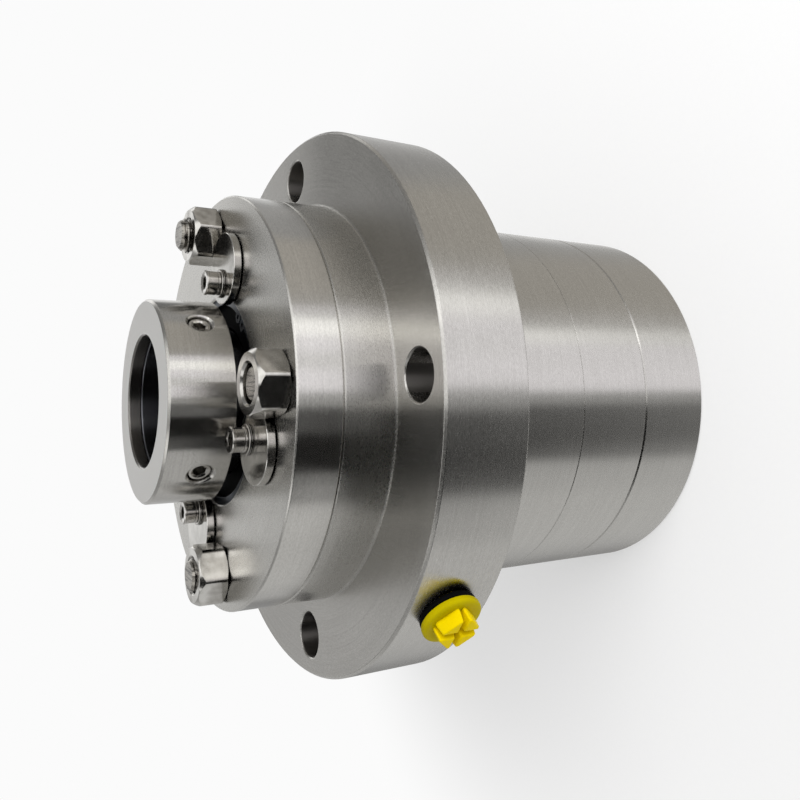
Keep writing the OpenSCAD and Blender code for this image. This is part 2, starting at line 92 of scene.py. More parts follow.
class Nodes:
    """A node tree, with short ways to add the nodes that the materials and the recipes need."""

    def __init__(self, tree: NodeTree) -> None:
        """Holds the tree."""
        self.tree = tree

    def add(self, kind: str, inputs: dict | None = None, **settings) -> Node:
        """Adds one node, with its settings, values and links.

        Args:
            kind: the node's Blender type.
            inputs: a value, a socket or a node for each input, by name or number. A node gives its
                first output.
            **settings: the node's own properties.

        Returns:
            The new node.
        """
        node = self.tree.nodes.new(kind)
        for name, value in settings.items():
            setattr(node, name, value)
        for key, value in (inputs or {}).items():
            if isinstance(value, Node):
                value = value.outputs[0]
            if isinstance(value, NodeSocket):
                self.tree.links.new(value, node.inputs[key])
            else:
                node.inputs[key].default_value = value
        return node

    def calc(self, operation: str, *values: Input, clamp: bool = False) -> Node:
        """Adds a Math node, its inputs in order."""
        return self.add("ShaderNodeMath", dict(enumerate(values)), operation=operation, use_clamp=clamp)

    def vector(self, operation: str, *values: Input, scale: Input | None = None) -> Node:
        """Adds a Vector Math node, its inputs in order."""
        inputs = dict(enumerate(values)) | ({} if scale is None else {"Scale": scale})
        return self.add("ShaderNodeVectorMath", inputs, operation=operation)

    def xyz(self, *values: Input) -> Node:
        """Adds a vector made of its X, Y and Z, where what isn't given is 0."""
        return self.add("ShaderNodeCombineXYZ", dict(zip("XYZ", values)))

    def mix(self, share: Input, low: Input, high: Input) -> Node:
        """Adds a mix of two numbers, which gives low at a share of 0 and high at 1."""
        return self.add("ShaderNodeMix", {0: share, 2: low, 3: high})

    def blend(self, share: Input, low: Input, high: Input) -> NodeSocket:
        """Adds a mix of two colours, which gives low at a share of 0 and high at 1."""
        return self.add("ShaderNodeMix", {0: share, 6: low, 7: high}, data_type="RGBA").outputs[2]

    def remap(self, value: Input, low: Input, high: Input, start: Input = 0.0, end: Input = 1.0,
              smooth: bool = False) -> Node:
        """Adds a Map Range from low and high to start and end, with an S-curve where smooth is set."""
        return self.add("ShaderNodeMapRange", {"Value": value, "From Min": low, "From Max": high,
                                               "To Min": start, "To Max": end},
                        interpolation_type="SMOOTHSTEP" if smooth else "LINEAR")

    def noise(self, place: Input, size: float, detail: float) -> Node:
        """Adds a noise whose patches are about size across."""
        return self.add("ShaderNodeTexNoise", {"Vector": place, "Scale": 1 / size, "Detail": detail})

    def relief(self, height: Input, depth: float, edge: Input) -> Node:
        """Adds the normal of a surface with eased edges and with marks as deep as depth."""
        eased = self.add("ShaderNodeBevel", {"Radius": edge}, samples=4)
        return self.add("ShaderNodeBump", {"Height": height, "Strength": 1.0, "Distance": depth,
                                           "Normal": eased})

    def surface(self, shader: Node) -> None:
        """Links a shader to the material's output."""
        self.add("ShaderNodeOutputMaterial", {"Surface": shader})

    def principled(self, inputs: dict) -> None:
        """Makes the material a Principled BSDF with these inputs."""
        self.surface(self.add("ShaderNodeBsdfPrincipled", inputs))


def link_object(name: str, data: ID) -> Object:
    """Links new data to the scene as an object at the origin."""
    piece = bpy.data.objects.new(name, data)
    bpy.context.scene.collection.objects.link(piece)
    return piece


def blank_material(name: str) -> tuple[Material, Nodes]:
    """Makes a material with an empty node tree, and gives it with its nodes."""
    material = bpy.data.materials.new(name)
    material.use_nodes = True
    material.node_tree.nodes.clear()
    return material, Nodes(material.node_tree)


@dataclass(frozen=True)
class LatheSpace:
    """The coordinates that a turned surface's marks follow, read from Object coordinates.

    Attributes:
        radius: distance from the shaft axis.
        height: distance along the shaft axis.
        outward: unit vector away from the axis.
        tangent: direction round the axis, in world space.
        facing: 0 on a cylinder, 1 on a face across the axis.
        point: the Object coordinates.
    """

    radius: NodeSocket
    height: NodeSocket
    outward: NodeSocket
    tangent: NodeSocket
    facing: NodeSocket
    point: NodeSocket

    @staticmethod
    def build(nodes: Nodes) -> "LatheSpace":
        """Adds the coordinate nodes to a material.

        Args:
            nodes: the material's nodes.

        Returns:
            The sockets.
        """
        coords = nodes.add("ShaderNodeTexCoord")
        point = coords.outputs["Object"]
        across = nodes.vector("MULTIPLY", point, (1.0, 1.0, 0.0))
        length = nodes.vector("LENGTH", across)
        outward = nodes.vector("NORMALIZE", across)
        height = nodes.add("ShaderNodeSeparateXYZ", {0: point}).outputs["Z"]
        circle = nodes.vector("CROSS_PRODUCT", (0.0, 0.0, 1.0), outward)
        tangent = nodes.add("ShaderNodeVectorTransform", {0: circle}, vector_type="VECTOR",
                            convert_from="OBJECT", convert_to="WORLD")
        normal = nodes.add("ShaderNodeSeparateXYZ", {0: coords.outputs["Normal"]})
        steep = nodes.calc("ABSOLUTE", normal.outputs["Z"])
        facing = nodes.remap(steep, 0.8, 0.97, smooth=True)
        return LatheSpace(length.outputs["Value"], height, outward.outputs[0], tangent.outputs[0],
                          facing.outputs[0], point)

    def marks(self, nodes: Nodes, spacing: float, arcs: float, detail: float) -> Node:
        """Adds a noise drawn out round the axis, as a tool or an abrasive leaves it.

        Args:
            nodes: the material's nodes.
            spacing: distance between marks across the cut.
            arcs: how often a mark changes in one radian round the axis.
            detail: octaves of finer marks.

        Returns:
            The noise node.
        """
        flat = nodes.xyz(self.radius, self.height)
        scaled = nodes.vector("SCALE", flat, scale=1 / spacing)
        turn = nodes.add("ShaderNodeSeparateXYZ", {0: self.outward})
        east = nodes.calc("MULTIPLY", turn.outputs["X"], arcs)
        north = nodes.calc("MULTIPLY", turn.outputs["Y"], arcs)
        lift = nodes.xyz(0.0, 0.0, east)
        place = nodes.vector("ADD", scaled, lift)
        return nodes.add("ShaderNodeTexNoise", {"Vector": place, "W": north, "Scale": 1.0, "Detail": detail},
                         noise_dimensions="4D")


@dataclass(frozen=True)
class DrilledHoles:
    """A circle of holes drilled along the shaft axis, whose walls get a darker colour as painted shade.

    Attributes:
        pitch_radius: distance of the holes from the shaft axis.
        first: angle of the first hole, in degrees.
        count: how many there are.
        radius: radius of a hole.
    """

    pitch_radius: float
    first: float
    count: int
    radius: float

    def inside(self, nodes: Nodes, space: LatheSpace) -> Node:
        """Adds the test for a point on a hole's wall.

        Args:
            nodes: the material's nodes.
            space: the lathe coordinates.

        Returns:
            A node that gives 1 inside a hole, or 0.
        """
        turn = nodes.add("ShaderNodeSeparateXYZ", {0: space.outward})
        angle = nodes.calc("ARCTAN2", turn.outputs["Y"], turn.outputs["X"])
        from_first = nodes.calc("SUBTRACT", angle, math.radians(self.first))
        half_step = math.pi / self.count
        nearest = nodes.calc("WRAP", from_first, half_step, -half_step)
        along = nodes.calc("MULTIPLY", nearest, self.pitch_radius)
        across = nodes.calc("SUBTRACT", space.radius, self.pitch_radius)
        flat = nodes.xyz(along, across)
        away = nodes.vector("LENGTH", flat)
        near = nodes.calc("LESS_THAN", away.outputs["Value"], self.radius)
        return nodes.calc("SUBTRACT", near, space.facing, clamp=True)


@dataclass(frozen=True)
class TurnedSteel:
    """Stainless steel 316 as a lathe leaves it.

    The tool's rings run round the axis, so a reflection stays sharp round the axis and is drawn out
    across the rings, which gives a cylinder its long bands of light and a face its fan.
    """

    name: str
    light: str = "#DAD8D3"
    shade: str = "#A9A7A2"
    roughness: float = 0.26
    face_roughness: float = 0.42
    stretch: float = 0.92
    face_stretch: float = 0.92
    # Tool marks are about 0.15 mm apart on the real seal and are drawn coarser, so that they show
    line: float = 0.55 * MM
    grain: float = 0.3 * MM
    relief: float = 0.0018 * MM
    edge: float = 0.42 * MM
    mottle: float = 0.25
    # Painted light: a face across the axis gets this paler colour, so that it looks more brightly lit than
    # the turned sides
    face_light_colour: str | None = None
    # Above this height the surface is cut finer, to fine_roughness
    fine_from: float | None = None
    fine_roughness: float = 0.22
    holes: DrilledHoles | None = None
    # Radius and height of an inner corner, where the tool's nose leaves a small fillet
    foot: tuple[float, float] | None = None
    fillet: float = 1.5 * MM
    # Painted shade: a drilled or bored wall gets a darker colour than the turned faces, and the tool's rough
    # marks give it its own roughness
    hole_shade_colour: str = "#76736F"
    hole_roughness: float = 0.5

    def build(self) -> Material:
        """Builds the material."""
        material, nodes = blank_material(self.name)
        space = LatheSpace.build(nodes)
        lines = space.marks(nodes, self.line, arcs=2.5, detail=2.0)
        grain = space.marks(nodes, self.grain, arcs=90.0, detail=2.0)
        cloud = nodes.noise(space.point, size=24 * MM, detail=3.0)
        tone = self.blend_tone(nodes, lines, grain, cloud)
        colour = nodes.blend(tone, linear(self.shade), linear(self.light))
        # Painted light: a paler colour on faces across the axis
        if self.face_light_colour:
            colour = nodes.blend(space.facing, colour, linear(self.face_light_colour))
        rough = self.roughness_of(nodes, space, grain, cloud)
        # Painted shade on the walls of the drilled holes or the bore
        if self.holes:
            inside = self.holes.inside(nodes, space)
            colour = nodes.blend(inside, colour, linear(self.hole_shade_colour))
            rough = nodes.mix(inside, rough, self.hole_roughness)
        edge: float | Node = self.edge
        if self.foot:
            where = nodes.xyz(space.radius, space.height)
            away = nodes.vector("DISTANCE", where, (*self.foot, 0.0))
            near = nodes.calc("LESS_THAN", away.outputs["Value"], 2 * self.fillet)
            edge = nodes.mix(near, self.edge, self.fillet)
        height = nodes.calc("MULTIPLY_ADD", grain, 0.15, lines)
        bump = nodes.relief(height, self.relief, edge)
        drawn = nodes.mix(space.facing, self.stretch, self.face_stretch)
        nodes.principled({"Base Color": colour, "Metallic": 1.0, "Anisotropic": drawn,
                          "Anisotropic Rotation": 0.25, "Tangent": space.tangent, "Normal": bump,
                          "Roughness": rough})
        return material

    def blend_tone(self, nodes: Nodes, lines: Node, grain: Node, cloud: Node) -> Node:
        """Adds the mix of rings, grain and clouds that shades the colour.

        Args:
            nodes: the material's nodes.
            lines: the tool's rings.
            grain: the finer grain.
            cloud: broad uneven patches.

        Returns:
            A node that gives 0 for the shade and 1 for the light colour.
        """
        fine = nodes.calc("MULTIPLY_ADD", lines, 0.4, -0.3)
        mixed = nodes.calc("MULTIPLY_ADD", grain, 1.0, fine)
        return nodes.calc("MULTIPLY_ADD", cloud, self.mottle, mixed, clamp=True)

    def roughness_of(self, nodes: Nodes, space: LatheSpace, grain: Node, cloud: Node) -> Node:
        """Adds the roughness, which differs on faces and finely cut lengths.

        Args:
            nodes: the material's nodes.
            space: the lathe coordinates.
            grain: the finer grain.
            cloud: broad uneven patches.

        Returns:
            The last node.
        """
        side: float | Node = self.roughness
        if self.fine_from is not None:
            fine = nodes.calc("GREATER_THAN", space.height, self.fine_from)
            side = nodes.mix(fine, self.roughness, self.fine_roughness)
        base = nodes.mix(space.facing, side, self.face_roughness)
        streaked = nodes.calc("MULTIPLY_ADD", grain, 0.10, base)
        clouded = nodes.calc("MULTIPLY_ADD", cloud, 0.08, streaked)
        return nodes.calc("SUBTRACT", clouded, 0.09, clamp=True)


@dataclass(frozen=True)
class BrightSteel:
    """Stainless steel A2 of bought fasteners, drawn or pressed and then tumbled bright.

    Tumbling leaves a soft gloss with tiny dents, and the hollows between them stay a little darker.
    Sockets and narrow gaps get painted shade: an ambient-occlusion term darkens their colour.
    """

    name: str
    light: str = "#D2D0CB"
    shade: str = "#A5A29C"
    roughness: float = 0.2
    dent: float = 0.35 * MM
    relief: float = 0.006 * MM
    edge: float = 0.12 * MM
    # Colour of the saw's scores on a cut end, and of the painted shade in sockets and gaps
    score_and_recess_shade: str = "#2A2826"
    gap: float = 3 * MM
    # Strength of the saw's slanting scores on a cut end
    scores: float = 0.0

    def build(self) -> Material:
        """Builds the material."""
        material, nodes = blank_material(self.name)
        point = nodes.add("ShaderNodeTexCoord").outputs["Object"]
        dents = nodes.noise(point, size=self.dent, detail=3.0)
        cloud = nodes.noise(point, size=6 * MM, detail=2.0)
        tone = nodes.remap(cloud, 0.3, 0.65)
        clean = nodes.blend(tone, linear(self.shade), linear(self.light))
        # Painted shade: ambient occlusion darkens the colour in sockets and narrow gaps
        open_share = nodes.add("ShaderNodeAmbientOcclusion", {"Distance": self.gap}, samples=4)
        unshaded_share = nodes.remap(open_share.outputs["AO"], 0.15, 0.6)
        if self.scores:
            along = nodes.add("ShaderNodeMapping", {"Vector": point, "Rotation": (0.0, 0.0, math.radians(35)),
                                                    "Scale": (1 / (0.7 * MM), 1 / (9 * MM), 1 / (4 * MM))})
            cut = nodes.add("ShaderNodeTexNoise", {"Vector": along, "Scale": 1.0, "Detail": 1.0})
            mark = nodes.remap(cut, 0.52, 0.62, end=self.scores)
            clean = nodes.blend(mark, clean, linear(self.score_and_recess_shade))
        colour = nodes.blend(unshaded_share, linear(self.score_and_recess_shade), clean)
        bump = nodes.relief(dents, self.relief, self.edge)
        rough = nodes.calc("MULTIPLY_ADD", dents, 0.16, self.roughness - 0.08)
        nodes.principled({"Base Color": colour, "Metallic": 1.0, "Roughness": rough, "Normal": bump})
        return material


@dataclass(frozen=True)
class Moulding:
    """A moulded, pressed or lapped non-metal: plastic, rubber, carbon or carbide.

    Two close colours in soft clouds and a fine grain keep a plain moulding from looking painted.
    """

    name: str
    light: str
    shade: str
    roughness: float
    ior: float = 1.5
    cloud: float = 5 * MM
    grain: float = 0.25 * MM
    relief: float = 0.004 * MM
    glow: float = 0.0
    gloss: float = 0.5
    edge: float = 0.15 * MM

    def build(self) -> Material:
        """Builds the material."""
        material, nodes = blank_material(self.name)
        point = nodes.add("ShaderNodeTexCoord").outputs["Object"]
        cloud = nodes.noise(point, size=self.cloud, detail=2.0)
        grain = nodes.noise(point, size=self.grain, detail=2.0)
        colour = nodes.blend(cloud, linear(self.shade), linear(self.light))
        bump = nodes.relief(grain, self.relief, self.edge)
        rough = nodes.calc("MULTIPLY_ADD", grain, 0.15, self.roughness - 0.075)
        nodes.principled({"Base Color": colour, "Roughness": rough, "IOR": self.ior, "Normal": bump,
                          "Specular IOR Level": self.gloss, "Subsurface Weight": self.glow,
                          "Subsurface Scale": MM, "Subsurface Radius": (1.0, 0.8, 0.2)})
        return material


class Finishes:
    """Every finish on the seal, built once."""

    def __init__(self) -> None:
        """Builds the materials."""
        holes = DrilledHoles(pitch_radius=86 * MM, first=8.0, count=4, radius=8.1 * MM)
        bore = DrilledHoles(pitch_radius=0.0, first=0.0, count=1, radius=27.5 * MM)
        # The bolt holes' walls get a darker colour as painted shade
        self.barrel = TurnedSteel("steel_316_turned_satin", face_roughness=0.21, fine_from=29.9 * MM,
                                  fine_roughness=0.28, holes=holes,
                                  foot=(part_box("gland_plate")[1].x, HUB_FOOT)).build()
        self.gland = TurnedSteel("steel_316_turned_fine", roughness=0.21, face_roughness=0.27,
                                 face_stretch=0.3, mottle=0.6).build()
        # The collar's end faces get a paler colour as painted light, and its bore a darker colour as painted
        # shade
        self.collar = TurnedSteel("steel_316_turned_collar", roughness=0.19, face_roughness=0.5,
                                  face_stretch=0.0, face_light_colour="#ECEBE8", holes=bore,
                                  hole_shade_colour="#8A8783", hole_roughness=0.26).build()
        # Painted shade: the sleeve and the parts inside the seal get a darker, bluer steel colour than the
        # outer turned parts
        self.sleeve = TurnedSteel("steel_316_bored_shaded", light="#7F8084", shade="#6A6B70", roughness=0.2,
                                  face_roughness=0.3).build()
        self.fastener = BrightSteel("steel_a2_tumbled", light="#DCDAD5", shade="#A5A29C",
                                    roughness=0.17, edge=0.25 * MM).build()
        self.stud = BrightSteel("steel_a2_rolled_thread", light="#B4B0A8", shade="#827E77", roughness=0.28,
                                scores=0.7, relief=0.004 * MM).build()
        self.clip = BrightSteel("steel_316_polished_disc", light="#DAD8D3", shade="#C2C0BB", roughness=0.15,
                                relief=0.0015 * MM).build()
        self.screw = BrightSteel("steel_a2_screw", light="#D0CDC8", shade="#ABA8A2", roughness=0.2,
                                 relief=0.001 * MM).build()
        self.spring = BrightSteel("steel_302_drawn_wire", roughness=0.24, relief=0.002 * MM).build()
        self.circlip = BrightSteel("steel_1075_blued", light="#4A515C", shade="#2C3037", roughness=0.3,
                                   relief=0.002 * MM).build()
        self.rubber = Moulding("rubber_fkm_moulded", "#070708", "#040404", 0.55, ior=1.45,
                               gloss=0.05).build()
        # Carbon graphite is dark grey; these near-black colours and almost no gloss add painted shade, so the
        # throttle bushing in the gap round the shaft reads as deep shade
        self.carbon = Moulding("carbon_graphite_shade_black", "#060607", "#030304", 0.6, gloss=0.01).build()
        self.carbide = Moulding("silicon_carbide_lapped", "#55585D", "#43464B", 0.2, ior=2.4).build()
        self.plastic = Moulding("polyethylene_moulded", "#E0C800", "#D4B800", 0.42, glow=0.1, gloss=0.04,
                                grain=0.5 * MM).build()
        # Painted shade: the plug's flange gets a darker, greener copy of the yellow plastic
        self.shaded_plastic = Moulding("polyethylene_shaded", "#B2A300", "#A59600", 0.42, glow=0.1, gloss=0.04,
                                     grain=0.5 * MM).build()


def dress(node: str, material: Material) -> None:
    """Gives a CAD node's every slot a finish."""
    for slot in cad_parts[node].material_slots:
        slot.material = material
    LOG.info("dressed %s in %s", node, material.name)


class Outline(Enum):
    """How a station's radius runs round the axis."""

    ROUND = "round"
    HEX = "hexagon, its radius measured to the flats"
    KNURL = "straight knurl"
    DISC = "disc set off from the axis"


@dataclass(frozen=True)
class Station:
    """One ring of points of a turned shape, in millimetres.

    Attributes:
        r: radius, where 0 closes the shape on its axis.
        z: height.
        outline: how the radius runs round the axis.
        lean: how much the height changes for each millimetre that the radius exceeds r.
    """

    r: float
    z: float
    outline: Outline = Outline.ROUND
    lean: float = 0.0


@dataclass(frozen=True)
class Turning:
    """Builds small turned parts as rings of points joined by faces.

    Attributes:
        columns: points in a ring, a multiple of 12.
        knurl_depth: depth of a knurl's grooves, in millimetres.
        corner: radius of a hexagon's rounded corners, in millimetres.
        offset: distance of an off-centre disc's middle from the axis, in millimetres.
        sharp: the angle in degrees past which an edge stays sharp.
    """

    columns: int = 72
    knurl_depth: float = 0.25
    corner: float = 0.0
    offset: float = 0.0
    sharp: float = 32.0

    def radius(self, station: Station, column: int) -> float:
        """Gives a station's radius at a column, in millimetres.

        Args:
            station: the station.
            column: which point of the ring.

        Returns:
            The radius.
        """
        angle = math.tau * column / self.columns
        if station.outline is Outline.HEX:
            half = math.tau / 12
            off = abs(angle % (2 * half) - half)
            middle = Vector((station.r - self.corner, (station.r - self.corner) * math.tan(half)))
            if station.r * math.tan(off) <= middle.y:
                return station.r / math.cos(off)
            along = middle.x * math.cos(off) + middle.y * math.sin(off)
            return along + math.sqrt(max(along ** 2 - middle.length_squared + self.corner ** 2, 0.0))
        if station.outline is Outline.KNURL:
            return station.r - self.knurl_depth * (column % 2)
        if station.outline is Outline.DISC:
            return self.offset * math.cos(angle) + math.sqrt(station.r ** 2
                                                             - (self.offset * math.sin(angle)) ** 2)
        return station.r

    def mesh(self, name: str, stations: list[Station], material: Material) -> Object:
        """Builds one shape and links it to the scene.

        Args:
            name: the object's name.
            stations: the rings in order. A shape that doesn't start and end on the axis is closed
                from its last ring to its first.
            material: its finish.

        Returns:
            The object.
        """
        work = bmesh.new()
        rings = [self.ring(work, station) for station in stations]
        pairs = list(zip(rings, rings[1:]))
        if stations[0].r and stations[-1].r:
            pairs.append((rings[-1], rings[0]))
        for low, high in pairs:
            self.join(work, low, high)
        return finish_mesh(work, name, material, self.sharp)

    def ring(self, work: bmesh.types.BMesh, station: Station) -> list[bmesh.types.BMVert]:
        """Adds one station's points, or its single point on the axis."""
        if not station.r:
            return [work.verts.new((0.0, 0.0, station.z * MM))]
        points = []
        for column in range(self.columns):
            angle = math.tau * column / self.columns
            radius = self.radius(station, column)
            height = station.z + station.lean * (radius - station.r)
            points.append(work.verts.new((radius * math.cos(angle) * MM, radius * math.sin(angle) * MM,
                                          height * MM)))
        return points

    @staticmethod
    def join(work: bmesh.types.BMesh, low: list[bmesh.types.BMVert], high: list[bmesh.types.BMVert]) -> None:
        """Adds the faces between two rings, either of which may be a single point."""
        count = max(len(low), len(high))
        for i in range(count):
            corners = [low[i % len(low)], low[(i + 1) % len(low)], high[(i + 1) % len(high)],
                       high[i % len(high)]]
            work.faces.new(list(dict.fromkeys(corners)))


def finish_mesh(work: bmesh.types.BMesh, name: str, material: Material, sharp: float) -> Object:
    """Turns a bmesh into a linked object with outward faces and smooth shading between sharp edges.

    Args:
        work: the bmesh, which is freed.
        name: the object's name.
        material: its finish.
        sharp: the angle in degrees past which an edge stays sharp.

    Returns:
        The object.
    """
    bmesh.ops.recalc_face_normals(work, faces=work.faces)
    mesh = bpy.data.meshes.new(name)
    work.to_mesh(mesh)
    work.free()
    mesh.materials.append(material)
    return link_mesh(mesh, name, sharp)


def link_mesh(mesh: Mesh, name: str, sharp: float) -> Object:
    """Links a mesh as an object at the origin, smooth between its sharp edges."""
    mesh.shade_smooth()
    mesh.set_sharp_from_angle(angle=math.radians(sharp))
    return link_object(name, mesh)


def bevelled(piece: Object, width: float, segments: int) -> Object:
    """Rounds a piece's sharp edges with a Bevel modifier, and gives the piece back."""
    modifier = piece.modifiers.new("edge", "BEVEL")
    modifier.width = width
    modifier.segments = segments
    modifier.limit_method = "ANGLE"
    modifier.angle_limit = math.radians(34)
    modifier.use_clamp_overlap = True
    modifier.harden_normals = False
    return piece


def plain_copy(source: Object, name: str) -> Object:
    """Turns an object with live modifiers into a plain piece at the origin, and removes the object."""
    bpy.context.view_layer.update()
    graph = bpy.context.evaluated_depsgraph_get()
    mesh = bpy.data.meshes.new_from_object(source.evaluated_get(graph), depsgraph=graph)
    bpy.data.objects.remove(source)
    mesh.name = name
    return link_object(name, mesh)


def join_pieces(parts: list[Object], name: str) -> Object:
    """Joins plain mesh pieces into one.

    Args:
        parts: the pieces, which are removed.
        name: the new piece's name.

    Returns:
        The joined piece, at the origin.
    """
    work = bmesh.new()
    materials = list(dict.fromkeys(part.data.materials[0] for part in parts))
    for part in parts:
        before = len(work.faces)
        work.from_mesh(part.data)
        work.faces.ensure_lookup_table()
        for face in work.faces[before:]:
            face.material_index = materials.index(part.data.materials[0])
    mesh = bpy.data.meshes.new(name)
    work.to_mesh(mesh)
    work.free()
    for material in materials:
        mesh.materials.append(material)
    for part in parts:
        bpy.data.objects.remove(part)
    return link_object(name, mesh)


class Recipe(Nodes):
    """A Geometry Nodes tree with named inputs."""

    def __init__(self, name: str, inputs: dict[str, str]) -> None:
        """Starts the tree.

        Args:
            name: the tree's name.
            inputs: each input's name and socket type.
        """
        super().__init__(bpy.data.node_groups.new(name, "GeometryNodeTree"))
        self.sockets = {}
        for label, kind in {"Geometry": "NodeSocketGeometry", **inputs}.items():
            socket = self.tree.interface.new_socket(label, in_out="INPUT", socket_type=kind)
            self.sockets[label] = socket.identifier
        self.tree.interface.new_socket("Geometry", in_out="OUTPUT", socket_type="NodeSocketGeometry")
        self.given = super().add("NodeGroupInput")

    def add(self, kind: str, inputs: dict | None = None, **settings) -> Node:
        """Adds one node, where an input written as "<Name" comes from the tree's named input."""
        links = {key: self.given.outputs[value[1:]] if isinstance(value, str) and value[:1] == "<" else value
                 for key, value in (inputs or {}).items()}
        return super().add(kind, links, **settings)

    def finish(self, geometry: Node) -> None:
        """Ends the tree in Realize Instances and Set Material."""
        real = self.add("GeometryNodeRealizeInstances", {"Geometry": geometry})
        dressed = self.add("GeometryNodeSetMaterial", {"Geometry": real, "Material": "<Material"})
        self.add("NodeGroupOutput", {0: dressed})

    def make(self, name: str, mesh: Mesh, values: dict) -> Object:
        """Runs the tree on a mesh and gives the result as a plain piece.

        Args:
            name: the new piece's name.
            mesh: the mesh that the tree starts from.
            values: a value for each named input.

        Returns:
            The piece.
        """
        host = link_object(name + "_host", mesh)
        modifier = host.modifiers.new("recipe", "NODES")
        modifier.node_group = self.tree
        for label, value in values.items():
            modifier[self.sockets[label]] = value
        piece = plain_copy(host, name)
        piece.data.materials.clear()
        piece.data.materials.append(values["Material"])
        return piece


@dataclass(frozen=True)
class Spot:
    """How one copy of a fastener differs from the others on its circle.

    Attributes:
        lift: how far it is moved along its own axis, in metres.
        turn: its turn about its own axis, in degrees.
    """

    lift: float = 0.0
    turn: float = 0.0


class BoltCircle(Recipe):
    """Repeats a template at equal steps round the shaft axis, upright or lying along a radius."""

    def __init__(self) -> None:
        """Builds the tree."""
        super().__init__("bolt_circle", {
            "Template": "NodeSocketObject", "Material": "NodeSocketMaterial", "Step": "NodeSocketFloat",
            "First Angle": "NodeSocketFloat", "Pitch Radius": "NodeSocketFloat",
            "Height": "NodeSocketFloat", "Lean": "NodeSocketFloat"})
        index = self.add("GeometryNodeInputIndex")
        angle = self.calc("MULTIPLY_ADD", index, "<Step", "<First Angle")
        cosine = self.calc("COSINE", angle)
        sine = self.calc("SINE", angle)
        out = self.xyz(cosine, sine)
        ring = self.vector("SCALE", out, scale="<Pitch Radius")
        level = self.xyz(0.0, 0.0, "<Height")
        place = self.vector("ADD", ring, level)
        moved = self.add("GeometryNodeSetPosition", {"Geometry": "<Geometry", "Position": place})
        template = self.add("GeometryNodeObjectInfo", {"Object": "<Template", "As Instance": True})
        euler = self.xyz(0.0, "<Lean", angle)
        aim = self.add("FunctionNodeEulerToRotation", {0: euler})
        copies = self.add("GeometryNodeInstanceOnPoints", {"Points": moved,
                                                           "Instance": template.outputs["Geometry"],
                                                           "Rotation": aim})
        turn = self.add("GeometryNodeInputNamedAttribute", {"Name": "turn"}, data_type="FLOAT")
        own = self.xyz(0.0, 0.0, turn)
        spin = self.add("FunctionNodeEulerToRotation", {0: own})
        turned = self.add("GeometryNodeRotateInstances", {"Instances": copies, "Rotation": spin})
        lift = self.add("GeometryNodeInputNamedAttribute", {"Name": "lift"}, data_type="FLOAT")
        shift = self.xyz(0.0, 0.0, lift)
        lifted = self.add("GeometryNodeTranslateInstances", {"Instances": turned, "Translation": shift})
        self.finish(lifted)

    def repeat(self, name: str, template: Object, spots: list[Spot], first: float, radius: float,
               height: float, lean: float = 0.0) -> Object:
        """Repeats a template round the axis.

        Args:
            name: the new piece's name.
            template: the shape to repeat, standing on +Z at the origin. It is removed afterwards.
            spots: one for each copy, in order round the axis.
            first: angle of the first copy, in degrees.
            radius: distance of the copies from the axis.
            height: their height.
            lean: 0 stands them along the axis, 90 lays them outwards.

        Returns:
            The piece.
        """
        points = bpy.data.meshes.new(name + "_points")
        points.from_pydata([(0.0, 0.0, 0.0)] * len(spots), [], [])
        for label, values in (("lift", [spot.lift for spot in spots]),
                              ("turn", [math.radians(spot.turn) for spot in spots])):
            points.attributes.new(label, "FLOAT", "POINT").data.foreach_set("value", values)
        piece = self.make(name, points, {
            "Template": template, "Material": template.data.materials[0], "Step": math.tau / len(spots),
            "First Angle": math.radians(first), "Pitch Radius": radius, "Height": height,
            "Lean": math.radians(lean)})
        bpy.data.objects.remove(template)
        return piece


